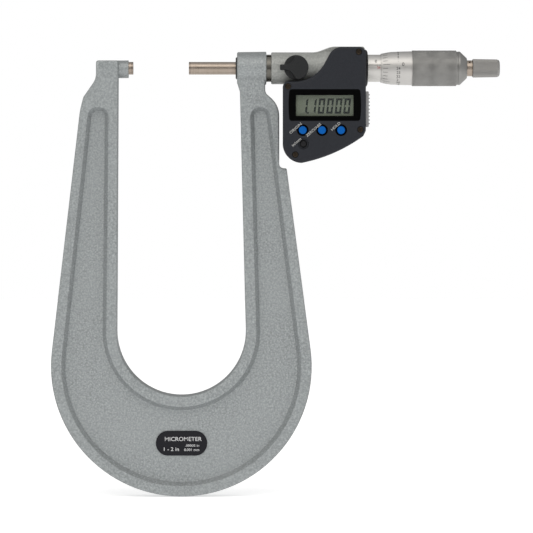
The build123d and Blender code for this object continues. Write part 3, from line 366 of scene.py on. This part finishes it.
INK_CRYSTAL = print_ink("crystal_dark", (0.001, 0.005, 0.006), (0.002, 0.007, 0.009), 0.6)
INK_FAINT = print_ink("crystal_faint", (0.152, 0.176, 0.134), (0.160, 0.184, 0.14), 0.5)

for entry in frame["record"]["subparts"]:
    shown = nodes[entry["node"]].data
    shown.materials.clear()
    shown.materials.append(FINISHES[entry["material_slot"]])


# ---- Mesh helpers ---------------------------------------------------------------------------
def new_piece(name, mesh, material, body):
    """An object for a finished mesh, in its material, riding on its body."""
    piece = bpy.data.objects.new(name, mesh)
    bpy.context.scene.collection.objects.link(piece)
    mesh.materials.clear()
    mesh.materials.append(material)
    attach(piece, body)
    return piece


def mesh_from(name, points, faces, sharp_angle=35):
    """A mesh whose faces point outward, smooth except over sharp edges."""
    mesh = bpy.data.meshes.new(name)
    mesh.from_pydata(points, [], faces)
    work = bmesh.new()
    work.from_mesh(mesh)
    bmesh.ops.remove_doubles(work, verts=work.verts, dist=1e-7)
    bmesh.ops.recalc_face_normals(work, faces=work.faces)
    work.to_mesh(mesh)
    work.free()
    mesh.shade_smooth()
    mesh.set_sharp_from_angle(angle=math.radians(sharp_angle))
    return mesh


def on_axis(axis, centre, along, radius, angle):
    """A point at a distance along an axis, and round it: 0 is the front for X, the right for Y."""
    if axis == "X":
        return (
            centre[0] + along,
            centre[1] - radius * math.cos(angle),
            centre[2] + radius * math.sin(angle),
        )
    return (
        centre[0] + radius * math.cos(angle),
        centre[1] + along,
        centre[2] + radius * math.sin(angle),
    )


def lathe(profile, steps, axis="X", centre=(0, 0, 0), closed=False):
    """Points and faces of a turned shape. profile holds (along, radius) or (along, ripple)
    pairs, where ripple(angle) gives the radius. An open profile is closed by a fan at each end."""
    points, faces = [], []
    for along, radius in profile:
        for k in range(steps):
            angle = TURN * k / steps
            r = radius(angle) if callable(radius) else radius
            points.append(on_axis(axis, centre, along, r, angle))
    rings = len(profile)
    for i in range(rings if closed else rings - 1):
        low, high = i * steps, (i + 1) % rings * steps
        for k in range(steps):
            k2 = (k + 1) % steps
            faces.append((low + k, low + k2, high + k2, high + k))
    if not closed:
        for ring in (0, rings - 1):
            hub = len(points)
            points.append(on_axis(axis, centre, profile[ring][0], 0, 0))
            start = ring * steps
            faces += [(start + k, start + (k + 1) % steps, hub) for k in range(steps)]
    return points, faces


def join_shapes(shapes):
    """Points and faces of several closed shapes in one mesh."""
    points, faces = [], []
    for more_points, more_faces in shapes:
        start = len(points)
        points += more_points
        faces += [tuple(start + i for i in face) for face in more_faces]
    return points, faces


def prism(outline, back, front):
    """A flat closed shape from (x, z) corners, between two depths along Y."""
    count = len(outline)
    points = [(x, back, z) for x, z in outline] + [(x, front, z) for x, z in outline]
    faces = [tuple(range(count)), tuple(range(count, 2 * count))]
    faces += [(i, (i + 1) % count, count + (i + 1) % count, count + i) for i in range(count)]
    return points, faces


LETTER_BOLDNESS = 0.012  # how far an outline is let out, at a size of 1


def letter_mesh(words, height, width=None, depth=0.05 * MM):
    """Raised lettering that faces -Y, centred on the origin, of that height. It keeps its own
    proportions unless a width is given."""
    curve = bpy.data.curves.new("words", "FONT")
    curve.body = words
    curve.size = 1.0
    curve.align_x = "CENTER"
    curve.offset = LETTER_BOLDNESS
    curve.resolution_u = 4
    holder = bpy.data.objects.new("words", curve)
    bpy.context.scene.collection.objects.link(holder)
    bpy.context.view_layer.update()
    flat = bpy.data.meshes.new_from_object(holder)
    bpy.data.objects.remove(holder)
    xs = [v.co.x for v in flat.vertices]
    ys = [v.co.y for v in flat.vertices]
    grow_y = height / (max(ys) - min(ys))
    grow_x = width / (max(xs) - min(xs)) if width else grow_y
    middle = Vector(((max(xs) + min(xs)) / 2, (max(ys) + min(ys)) / 2, 0))
    work = bmesh.new()
    work.from_mesh(flat)
    bpy.data.meshes.remove(flat)
    bmesh.ops.remove_doubles(work, verts=work.verts, dist=1e-5)
    skin = list(work.faces)
    raised = bmesh.ops.extrude_face_region(work, geom=skin)["geom"]
    for vertex in work.verts:
        across, up = vertex.co.x - middle.x, vertex.co.y - middle.y
        vertex.co = Vector((across * grow_x, depth / 2, up * grow_y))
    for vertex in (g for g in raised if isinstance(g, bmesh.types.BMVert)):
        vertex.co.y = -depth / 2
    bmesh.ops.recalc_face_normals(work, faces=work.faces)
    mesh = bpy.data.meshes.new("letters")
    work.to_mesh(mesh)
    work.free()
    return mesh


def bent_round(mesh, x, angle, radius_at):
    """Wraps a flat mesh that faces -Y on to the turned surface whose radius at x is radius_at(x)."""
    for vertex in mesh.vertices:
        along = x + vertex.co.x
        radius = radius_at(along)
        turn = angle + vertex.co.z / radius
        reach = radius - vertex.co.y
        vertex.co = (along, -reach * math.cos(turn), reach * math.sin(turn))
    return mesh


def joined(name, meshes):
    """One mesh out of several."""
    work = bmesh.new()
    for mesh in meshes:
        work.from_mesh(mesh)
        bpy.data.meshes.remove(mesh)
    whole = bpy.data.meshes.new(name)
    work.to_mesh(whole)
    work.free()
    return whole


def moved(mesh, x, y, z, tilt=0.0):
    """The mesh turned in its own plane by tilt degrees, anticlockwise seen from -Y, then moved."""
    turn = Matrix.Rotation(math.radians(-tilt), 4, "Y")
    mesh.transform(Matrix.Translation((x, y, z)) @ turn)
    return mesh


# ---- Thimble --------------------------------------------------------------------------------
THIMBLE_R = thimble_high.z
KNURL_END = THIMBLE_EDGE + 38.0 * MM
BEVEL_END = THIMBLE_EDGE + 4.9 * MM
EDGE_R = 7.28 * MM
BEVEL_R = 8.18 * MM
BODY_R = 8.4 * MM
BODY_X = THIMBLE_EDGE + 10.0 * MM
SHOULDER_R = 8.53 * MM
BORE_R = 7.05 * MM
SEAT_R = 4.5 * MM
KNURL_COUNT = 84
KNURL_DEPTH = 0.22 * MM


def triangle_wave(value):
    """0 at whole numbers, 1 halfway between them."""
    return 1 - abs(2 * (value % 1) - 1)


def knurl(x, start, pitch, count, depth, top):
    """How the radius varies round a diamond knurl at x."""
    along = (x - start) / pitch

    def radius(angle):
        around = angle / TURN * count
        rise = min(triangle_wave(around + along), triangle_wave(around - along))
        return top - depth * (1 - rise)

    return radius


def thimble_radius(x):
    """The thimble's outside, ahead of its knurl."""
    stations = [
        (THIMBLE_EDGE, EDGE_R),
        (BEVEL_END, BEVEL_R),
        (BODY_X, BODY_R),
        (KNURL_START, SHOULDER_R),
    ]
    for (x0, r0), (x1, r1) in zip(stations, stations[1:]):
        if x <= x1:
            return r0 + (r1 - r0) * (x - x0) / (x1 - x0)
    return SHOULDER_R


def build_thimble():
    steps = 4 * KNURL_COUNT
    pitch = TURN * THIMBLE_R / KNURL_COUNT
    rows = round((KNURL_END - KNURL_START) / pitch * 4)
    profile = [
        (THIMBLE_EDGE + 0.12 * MM, BORE_R),
        (THIMBLE_EDGE, BORE_R + 0.08 * MM),
        (THIMBLE_EDGE, EDGE_R - 0.08 * MM),
        (THIMBLE_EDGE + 0.1 * MM, EDGE_R),
        (BEVEL_END - 0.3 * MM, thimble_radius(BEVEL_END - 0.3 * MM)),
        (BEVEL_END + 0.3 * MM, thimble_radius(BEVEL_END + 0.3 * MM)),
        (BODY_X, BODY_R),
        (KNURL_START - 0.25 * MM, SHOULDER_R),
        (KNURL_START - 0.15 * MM, SHOULDER_R - 0.12 * MM),
        (KNURL_START, SHOULDER_R - 0.12 * MM),
        (KNURL_START + 0.05 * MM, THIMBLE_R - KNURL_DEPTH),
    ]
    first, last = KNURL_START + 0.15 * MM, KNURL_END - 0.15 * MM
    for row in range(rows + 1):
        x = first + (last - first) * row / rows
        profile.append((x, knurl(x, first, pitch, KNURL_COUNT, KNURL_DEPTH, THIMBLE_R)))
    end = thimble_high.x
    ring = BODY_R
    mouth_r = 3.5 * MM
    profile += [
        (KNURL_END - 0.05 * MM, THIMBLE_R - KNURL_DEPTH),
        (KNURL_END, ring),
        (KNURL_END + 0.5 * MM, ring),
        (KNURL_END + 0.58 * MM, ring - 0.2 * MM),
        (KNURL_END + 0.72 * MM, ring - 0.2 * MM),
        (KNURL_END + 0.8 * MM, ring),
        (KNURL_END + 1.7 * MM, ring),
        (KNURL_END + 1.95 * MM, ring - 0.12 * MM),
        (end - 0.45 * MM, 5.5 * MM),
        (end - 0.15 * MM, 5.22 * MM),
        (end, 5.0 * MM),
        (end, mouth_r + 0.12 * MM),
        (end - 0.12 * MM, mouth_r),
        (end - 4.1 * MM, mouth_r),
        (end - 4.1 * MM, mouth_r + 0.2 * MM),
        (end - 11.5 * MM, SEAT_R),
        (end - 11.5 * MM, BORE_R),
    ]
    points, faces = lathe(profile, steps, closed=True)
    mesh = mesh_from("thimble_shell", points, faces, 25)
    chrome = FINISHES["thimble_chrome"]
    shell = new_piece("thimble_shell", mesh, chrome, "spindle")
    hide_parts("thimble")


build_thimble()

DATUM_ANGLE = math.radians(13.6)  # the sleeve is set with its datum line a little above the front
THIMBLE_DIVISIONS = 25
TICK_WIDTH = 0.2 * MM
INLAY = 0.03 * MM  # thickness of a paint-filled line, half of it proud of the metal


def strip(start, end, width):
    """A thin flat line along X that faces -Y, fine enough to bend round."""
    pieces = 4
    shapes = []
    for k in range(pieces):
        a = start + (end - start) * k / pieces
        b = start + (end - start) * (k + 1) / pieces
        corners = [(a, -width / 2), (b, -width / 2), (b, width / 2), (a, width / 2)]
        shapes.append(prism(corners, INLAY / 2, -INLAY / 2))
    points, faces = join_shapes(shapes)
    return mesh_from("strip", points, faces)


def build_thimble_marks():
    """Twenty-five divisions on the bevel, each numbered, with a longer line at zero."""
    meshes = []
    for k in range(THIMBLE_DIVISIONS):
        angle = DATUM_ANGLE + TURN * k / THIMBLE_DIVISIONS
        length = 3.3 * MM if k % 5 == 0 else 2.4 * MM
        if k == 0:
            length = 4.5 * MM
        line = strip(0, length, TICK_WIDTH)
        meshes.append(bent_round(line, THIMBLE_EDGE + 0.95 * MM, angle, thimble_radius))
        size = 1.9 * MM if k == 0 else 1.45 * MM
        label = letter_mesh(str(k), height=size, depth=INLAY)
        shift = 11.0 * MM if k == 0 else 8.6 * MM
        meshes.append(bent_round(label, THIMBLE_EDGE + shift, angle, thimble_radius))
    marks = joined("thimble_graduations", meshes)
    new_piece("thimble_graduations", marks, INK_BLACK, "spindle")


build_thimble_marks()


# ---- Sleeve ---------------------------------------------------------------------------------
sleeve_low, sleeve_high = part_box("sleeve")
SLEEVE_R = sleeve_high.z
READING = 1.1 * INCH
SCALE_START = THIMBLE_EDGE - (READING - 1.0 * INCH)  # where the thimble's edge stands at 1 inch
SLEEVE_STEP = 0.025 * INCH
STEPS_TO_A_NUMBER = 4
SLEEVE_STEPS = 40


def sleeve_radius(_):
    return SLEEVE_R


def upright(x, length, width, angle):
    """A line on the sleeve, across the datum line and down from it."""
    corners = [(-width / 2, -length), (width / 2, -length), (width / 2, 0), (-width / 2, 0)]
    points, faces = prism(corners, INLAY / 2, -INLAY / 2)
    return bent_round(mesh_from("upright", points, faces), x, angle, sleeve_radius)


def build_sleeve_marks():
    """The datum line, a line every 0.025 in below it and a number every 0.1 in above it."""
    line_end = sleeve_high.x - 0.6 * MM - sleeve_low.x
    datum = strip(0.3 * MM, line_end, 1.6 * TICK_WIDTH)
    meshes = [bent_round(datum, sleeve_low.x, DATUM_ANGLE, sleeve_radius)]
    rise = DATUM_ANGLE + 2.1 * MM / SLEEVE_R
    for k in range(SLEEVE_STEPS + 1):
        x = SCALE_START + k * SLEEVE_STEP
        numbered = k % STEPS_TO_A_NUMBER == 0
        length = 2.6 * MM if numbered else 1.7 * MM
        meshes.append(upright(x, length, 0.14 * MM, DATUM_ANGLE))
        if numbered:
            digit = str(k // STEPS_TO_A_NUMBER % 10)
            number = letter_mesh(digit, height=1.7 * MM, depth=INLAY)
            meshes.append(bent_round(number, x, rise, sleeve_radius))
    marks = joined("sleeve_graduations", meshes)
    new_piece("sleeve_graduations", marks, INK_BLACK, "sleeve")
    unit = letter_mesh("in", height=1.6 * MM, depth=INLAY)
    drop = DATUM_ANGLE - 1.2 * MM / SLEEVE_R
    bent_round(unit, SCALE_START + 1.3 * MM, drop, sleeve_radius)
    new_piece("sleeve_unit", unit, INK_RED, "sleeve")


build_sleeve_marks()


# ---- Ratchet knob ---------------------------------------------------------------------------
def build_ratchet_knob():
    """The knob with fine straight knurling and a rounded end round the screw's recess."""
    low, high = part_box("ratchet_knob")
    top = high.z
    flutes = 64
    depth = 0.12 * MM
    recess_r, screw_bore_r = 2.9 * MM, 1.48 * MM

    def fluted(radius):
        return lambda angle: radius - depth * (1 - triangle_wave(angle / TURN * flutes)) ** 2

    start, end = low.x, high.x
    profile = [
        (start, top - 0.7 * MM),
        (start, top - 0.35 * MM),
        (start + 0.12 * MM, top - 0.15 * MM),
        (start + 0.3 * MM, fluted(top - 0.02 * MM)),
    ]
    rows = 8
    for row in range(rows + 1):
        share = row / rows
        x = start + 0.4 * MM + (end - start - 1.6 * MM) * share
        profile.append((x, fluted(top - 0.2 * MM * share)))
    arc = 7
    nose = 1.15 * MM
    for k in range(arc + 1):
        angle = math.pi / 2 * k / arc
        x = end - nose + nose * math.sin(angle)
        profile.append((x, top - 0.33 * MM - nose * (1 - math.cos(angle))))
    profile += [
        (end, recess_r + 0.1 * MM),
        (end - 0.12 * MM, recess_r),
        (start + 3.6 * MM, recess_r),
        (start + 3.6 * MM, screw_bore_r),
        (start + 2.2 * MM, screw_bore_r),
        (start + 2.2 * MM, top - 0.7 * MM),
    ]
    points, faces = lathe(profile, 6 * flutes, closed=True)
    mesh = mesh_from("ratchet_knob_fluted", points, faces, 40)
    chrome = FINISHES["ratchet_chrome"]
    knob = new_piece("ratchet_knob_fluted", mesh, chrome, "ratchet_knob")
    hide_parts("ratchet_knob")


build_ratchet_knob()


# ---- Lock lever -----------------------------------------------------------------------------
def smooth_step(value):
    """0 below 0, 1 above 1 and an even S between them."""
    value = min(max(value, 0.0), 1.0)
    return value * value * (3 - 2 * value)


def lever_disc(centre, radius, back, front):
    """The disc, whose raised fan narrows towards -X between two scoops."""
    scoop = back - 0.9 * MM
    edge = 0.45 * MM  # radius of the rounded rim
    neck = 1.35 * MM  # half of the fan's height at its narrow end
    spread = 5.2 * MM  # how far from the centre the fan stops narrowing
    narrowing = 2.2
    ramp = 0.9 * MM
    rings, steps = 40, 120
    profile = [(back, radius - 0.15 * MM), (back - 0.15 * MM, radius)]
    points, faces = [], []
    for along, r in profile:
        for k in range(steps):
            points.append(on_axis("Y", centre, along, r, TURN * k / steps))
    for ring in range(rings):
        r = radius * (1 - ring / rings)
        for k in range(steps):
            angle = TURN * k / steps
            x, z = r * math.cos(angle), r * math.sin(angle)
            out = max(-x, 0.0)
            half = neck + (radius - neck) * max(0.0, 1 - out / spread) ** narrowing
            raised = smooth_step((half - abs(z)) / ramp + 0.5)
            level = scoop + (front - scoop) * raised
            rim = max(0.0, 1 - (radius - r) / edge)
            level += edge * (1 - math.sqrt(max(0.0, 1 - rim * rim)))
            points.append((centre.x + x, level, centre.z + z))
    middle = len(points)
    points.append((centre.x, front, centre.z))
    bands = 2 + rings
    for band in range(bands - 1):
        a, b = band * steps, (band + 1) * steps
        for k in range(steps):
            k2 = (k + 1) % steps
            faces.append((a + k, a + k2, b + k2, b + k))
    last = (bands - 1) * steps
    faces += [(last + k, last + (k + 1) % steps, middle) for k in range(steps)]
    hub = len(points)
    points.append((centre.x, back, centre.z))
    faces += [(k, (k + 1) % steps, hub) for k in range(steps)]
    return mesh_from("lever_disc", points, faces, 50)


def lever_nib(centre, radius, back, front, tip):
    """The finger nib, from its tip to a little way into the disc, with every edge rounded."""
    overlap, lower_by, height = 1.1 * MM, 0.25 * MM, 2.9 * MM
    size = Vector((centre.x - tip - radius + overlap, back - front - lower_by, height))
    place = Vector((tip + size.x / 2, back - size.y / 2, centre.z))
    shape = Matrix.Translation(place) @ Matrix.Diagonal((*size, 1))
    work = bmesh.new()
    bmesh.ops.create_cube(work, size=1.0, matrix=shape)
    rounding = {"offset": 0.6 * MM, "segments": 4, "profile": 0.6, "affect": "EDGES"}
    bmesh.ops.bevel(work, geom=work.edges, **rounding)
    nib = bpy.data.meshes.new("lever_nib")
    work.to_mesh(nib)
    work.free()
    nib.shade_smooth()
    return nib


def build_lock_lever():
    low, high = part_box("lock_lever")
    radius = (high.z - low.z) / 2
    centre = Vector((high.x - radius, 0, (high.z + low.z) / 2))
    disc = lever_disc(centre, radius, high.y, low.y)
    nib = lever_nib(centre, radius, high.y, low.y, low.x)
    mesh = joined("lock_lever_moulding", [disc, nib])
    plastic = FINISHES["lever_plastic"]
    lever = new_piece("lock_lever_moulding", mesh, plastic, "lock_lever")
    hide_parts("lock_lever")


build_lock_lever()


# ---- Display --------------------------------------------------------------------------------
SEGMENTS = {"0": "abcdef", "1": "bc"}
DIGIT_WIDTH = 3.15 * MM
DIGIT_HEIGHT = 7.6 * MM
DIGIT_PITCH = 4.26 * MM
STROKE = 1.0 * MM
SEGMENT_GAP = 0.035 * MM
SLANT = 0.11
DECIMALS = 5


def digit_segments():
    """Outlines of a digit's seven segments, in its own (x, z), with mitred gaps between them."""
    w, h, t, gap = DIGIT_WIDTH, DIGIT_HEIGHT, STROKE, SEGMENT_GAP
    half = h / 2
    top = [(gap, h), (w - gap, h), (w - t - gap, h - t), (t + gap, h - t)]
    upper = [(w, h - gap), (w, half + gap), (w - t, half + t / 2 + gap), (w - t, h - t - gap)]
    lower = [(w, half - gap), (w, gap), (w - t, t + gap), (w - t, half - t / 2 - gap)]
    middle = [
        (gap + t / 2, half),
        (t + gap, half + t / 2),
        (w - t - gap, half + t / 2),
        (w - gap - t / 2, half),
        (w - t - gap, half - t / 2),
        (t + gap, half - t / 2),
    ]

    def across(points):
        return [(w - x, z) for x, z in points]

    def down(points):
        return [(x, h - z) for x, z in points]

    return {
        "a": top,
        "b": upper,
        "c": lower,
        "d": down(top),
        "e": across(lower),
        "f": across(upper),
        "g": middle,
    }


def build_reading():
    """The reading 1.10000 in slanted seven-segment digits, and the faint unlit segments."""
    low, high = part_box("display_lens")
    panel_low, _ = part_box("lcd_panel")
    face = panel_low.y - 0.01 * MM
    base = low.z + 1.15 * MM
    right = high.x - 1.1 * MM - DIGIT_HEIGHT * SLANT
    reading = "110000"
    outlines = digit_segments()
    lit, unlit = [], []
    for place, digit in enumerate(reading):
        left = right - DIGIT_WIDTH - DIGIT_PITCH * (len(reading) - 1 - place)
        for segment, outline in outlines.items():
            leaning = [(left + x + SLANT * z, base + z) for x, z in outline]
            if segment in SEGMENTS[digit]:
                lit.append(prism(leaning, face, face - 0.03 * MM))
            else:
                unlit.append(prism(leaning, face, face - 0.01 * MM))
    point_x = right - DIGIT_WIDTH - DIGIT_PITCH * (DECIMALS - 1) - 0.98 * MM
    point = [(0, 0), (0.75, 0), (0.8, 0.75), (0.05, 0.75)]
    corners = [(point_x + x * MM, base + z * MM) for x, z in point]
    lit.append(prism(corners, face, face - 0.03 * MM))
    digits = mesh_from("reading_digits", *join_shapes(lit))
    new_piece("reading_digits", digits, INK_CRYSTAL, "root")
    ghosts = mesh_from("reading_unlit", *join_shapes(unlit))
    new_piece("reading_unlit", ghosts, INK_FAINT, "root")
    unit = letter_mesh("in", height=0.95 * MM)
    moved(unit, high.x - 4.7 * MM, face - 0.01 * MM, high.z - 1.5 * MM)
    new_piece("reading_unit", unit, INK_CRYSTAL, "root")


build_reading()


# ---- Buttons and their labels ---------------------------------------------------------------
def build_button_surrounds():
    """A black ring in the shallow step round each of the three main buttons: painted shade for the
    dark gap round each button, made as a part.
    """
    cover_low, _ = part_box("front_cover")
    face = cover_low.y
    inner_r, outer_r = 2.1 * MM, 2.9 * MM
    profile = [
        (face + 0.58 * MM, inner_r),
        (face + 0.58 * MM, outer_r),
        (face + 0.06 * MM, outer_r),
        (face + 0.03 * MM, outer_r - 0.08 * MM),
        (face + 0.3 * MM, inner_r + 0.1 * MM),
        (face + 0.4 * MM, inner_r),
    ]
    shapes = []
    for name in ("button_origin", "button_zero", "button_hold"):
        low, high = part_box(name)
        centre = ((low.x + high.x) / 2, 0, (low.z + high.z) / 2)
        shapes.append(lathe(profile, 64, axis="Y", centre=centre, closed=True))
    # Painted shade: near-black rings where the gaps round the buttons lie in shade.
    rings = mesh_from("button_shade_rings", *join_shapes(shapes))
    new_piece("button_shade_rings", rings, FINISHES["bezel_black"], "root")


def build_button_labels():
    """Generic names beside the buttons, printed on a slope."""
    cover_low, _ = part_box("front_cover")
    face = cover_low.y
    tilt = 41.0
    height = 1.35 * MM
    rows = [
        ("button_origin", "ORIGIN", 7.4 * MM, (-3.6 * MM, 0.9 * MM)),
        ("button_zero", "ZERO/ABS", 9.4 * MM, (-4.25 * MM, 0.1 * MM)),
        ("button_hold", "HOLD", 5.6 * MM, (-2.7 * MM, 1.9 * MM)),
        ("button_unit", "in/mm", 5.6 * MM, (-3.5 * MM, 0.9 * MM)),
    ]
    meshes = []
    for node, words, width, offset in rows:
        low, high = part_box(node)
        middle = (low + high) / 2
        label = letter_mesh(words, height, width, depth=0.04 * MM)
        x, z = middle.x + offset[0], middle.z + offset[1]
        meshes.append(moved(label, x, face - 0.015 * MM, z, tilt))
    new_piece("button_labels", joined("button_labels", meshes), INK_PALE, "root")


build_button_surrounds()
build_button_labels()


# ---- Name plate -----------------------------------------------------------------------------
def build_plate_print():
    """Generic wording on the plate: what it is, its range and its resolution."""
    low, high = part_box("name_plate")
    face = low.y - 0.01 * MM
    middle = (low + high) / 2
    rows = [
        ("MICROMETER", 18.6 * MM, 2.1 * MM, (0.9 * MM, 2.15 * MM)),
        ("1 - 2 in", 7.6 * MM, 1.9 * MM, (-5.1 * MM, -2.95 * MM)),
        (".00005 in", 7.0 * MM, 1.15 * MM, (5.4 * MM, -1.15 * MM)),
        ("0.001 mm", 7.6 * MM, 1.35 * MM, (5.1 * MM, -3.3 * MM)),
    ]
    meshes = []
    for words, width, height, offset in rows:
        text = letter_mesh(words, height, width)
        meshes.append(moved(text, middle.x + offset[0], face, middle.z + offset[1]))
    new_piece("plate_print", joined("plate_print", meshes), INK_PLATE, "root")


build_plate_print()


# ---- Cover screws ---------------------------------------------------------------------------
def build_cover_screws():
    """Four small countersunk-style screws with six-lobed recesses."""
    low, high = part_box("cover_screws")
    head_r, shank_r = 1.45 * MM, 0.75 * MM
    apart = 3 * MM  # two points this close belong to one screw
    seat = low.y + 1.0 * MM
    lobe_count, lobe_r, lobe_swell = 6, 0.66 * MM, 0.17
    work = bmesh.new()
    work.from_mesh(nodes["cover_screws"].data)
    centres = []
    for vertex in work.verts:
        if vertex.co.y > high.y - 0.01 * MM:
            if not any((vertex.co - c).length < apart for c in centres):
                centres.append(vertex.co.copy())
    groups = [
        [v.co.copy() for v in work.verts if math.hypot(v.co.x - c.x, v.co.z - c.z) < apart]
        for c in centres
    ]
    work.free()

    def lobes(angle):
        return lobe_r * (1 + lobe_swell * math.cos(lobe_count * angle))

    shapes = []
    for group in groups:
        xs = [p.x for p in group]
        zs = [p.z for p in group]
        centre = ((min(xs) + max(xs)) / 2, 0, (min(zs) + max(zs)) / 2)
        front = low.y
        profile = [
            (high.y, shank_r - 0.15 * MM),
            (high.y - 0.2 * MM, shank_r),
            (seat, shank_r),
            (seat, head_r - 0.05 * MM),
            (seat - 0.1 * MM, head_r),
            (front + 0.3 * MM, head_r),
            (front + 0.08 * MM, head_r - 0.14 * MM),
            (front, head_r - 0.4 * MM),
            (front, lobes),
            (front + 0.55 * MM, lobes),
        ]
        shapes.append(lathe(profile, 72, axis="Y", centre=centre))
    screws = mesh_from("screws_lobed", *join_shapes(shapes))
    piece = new_piece("screws_lobed", screws, FINISHES["screw_steel"], "root")
    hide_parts("cover_screws")


build_cover_screws()


# ---- Floor, light and camera ----------------------------------------------------------------
VIEW_CENTRE = Vector((66.9, 0, -99.7)) * MM
VIEW_WIDTH = 268.6 * MM
EYE = Vector((50.0, -1650.0, -15.0)) * MM
SENSOR = 36.0
FLOOR_SIZE = 1.6
FLOOR_GAP = 0.3 * MM
WARM = (1.0, 0.965, 0.91)
COOL = (0.93, 0.965, 1.0)


def area_light(name, offset, size, power, colour):
    """A soft panel, that far from the middle of the view and turned towards it."""
    data = bpy.data.lights.new(name, "AREA")
    data.shape = "RECTANGLE"
    data.size, data.size_y = size
    data.energy = power
    data.color = colour
    lamp = bpy.data.objects.new(name, data)
    bpy.context.scene.collection.objects.link(lamp)
    lamp.location = VIEW_CENTRE + Vector(offset)
    lamp.rotation_mode = "QUATERNION"
    lamp.rotation_quaternion = (VIEW_CENTRE - lamp.location).to_track_quat("-Z", "Y")
    lamp.visible_camera = False


def build_camera():
    """Level with the head and well back, framed on the whole instrument."""
    data = bpy.data.cameras.new("camera")
    data.sensor_width = SENSOR
    data.lens = SENSOR * (VIEW_CENTRE - EYE).length / VIEW_WIDTH
    data.clip_start, data.clip_end = 0.05, 20
    camera = bpy.data.objects.new("camera", data)
    bpy.context.scene.collection.objects.link(camera)
    camera.location = EYE
    camera.rotation_euler = (VIEW_CENTRE - EYE).to_track_quat("-Z", "Y").to_euler()
    bpy.context.scene.camera = camera


def build_floor():
    """A plain white floor just under the bow."""
    size = FLOOR_SIZE
    mesh = bpy.data.meshes.new("floor")
    corners = [(-size, -size, 0), (size, -size, 0), (size, size, 0), (-size, size, 0)]
    mesh.from_pydata(corners, [], [(0, 1, 2, 3)])
    floor = bpy.data.objects.new("floor", mesh)
    floor.location = (VIEW_CENTRE.x, 0, cad_low.z - FLOOR_GAP)
    bpy.context.scene.collection.objects.link(floor)
    finish = Finish("floor_white", Roughness=0.9, Specular_IOR_Level=0.0, Emission_Strength=0.55)
    finish.shader.inputs["Base Color"].default_value = (0.8, 0.8, 0.8, 1)
    finish.shader.inputs["Emission Color"].default_value = (1, 1, 1, 1)
    mesh.materials.append(finish.material)


def build_world():
    """A white surround for the eye. The light comes from a tent that is dim round the camera."""
    world = bpy.data.worlds.new("studio")
    world.use_nodes = True
    bpy.context.scene.world = world
    tree = world.node_tree
    output = tree.nodes["World Output"]
    seen = tree.nodes["Background"]
    seen.inputs["Color"].default_value = (1, 1, 1, 1)
    seen.inputs["Strength"].default_value = 1.0
    given = tree.nodes.new("ShaderNodeBackground")
    given.inputs["Strength"].default_value = 0.8
    direction = tree.nodes.new("ShaderNodeTexCoord")
    parts = tree.nodes.new("ShaderNodeSeparateXYZ")
    depth = tree.nodes.new("ShaderNodeMapRange")
    depth.inputs["From Min"].default_value = -1
    tent = tree.nodes.new("ShaderNodeValToRGB")
    stops = [(0.0, 0.30), (0.06, 0.42), (0.2, 0.9), (0.62, 0.9), (1.0, 0.35)]
    ramp = tent.color_ramp.elements
    while len(ramp) < len(stops):
        ramp.new(0.5)
    for element, (position, level) in zip(ramp, stops):
        element.position = position
        element.color = (level, level, level, 1)
    tree.links.new(direction.outputs["Generated"], parts.inputs["Vector"])
    tree.links.new(parts.outputs["Y"], depth.inputs["Value"])
    tree.links.new(depth.outputs["Result"], tent.inputs["Fac"])
    tree.links.new(tent.outputs["Color"], given.inputs["Color"])
    path = tree.nodes.new("ShaderNodeLightPath")
    either = tree.nodes.new("ShaderNodeMixShader")
    tree.links.new(path.outputs["Is Camera Ray"], either.inputs["Fac"])
    tree.links.new(given.outputs["Background"], either.inputs[1])
    tree.links.new(seen.outputs["Background"], either.inputs[2])
    tree.links.new(either.outputs["Shader"], output.inputs["Surface"])


build_camera()
build_floor()
build_world()
area_light("key_upper", (-0.15, -0.75, 1.0), (1.6, 0.8), 7.0, WARM)
area_light("key_lower", (0.1, -0.9, -0.75), (1.6, 0.5), 1.7, COOL)
bpy.context.scene.view_settings.view_transform = "Standard"


bpy.context.view_layer.update()
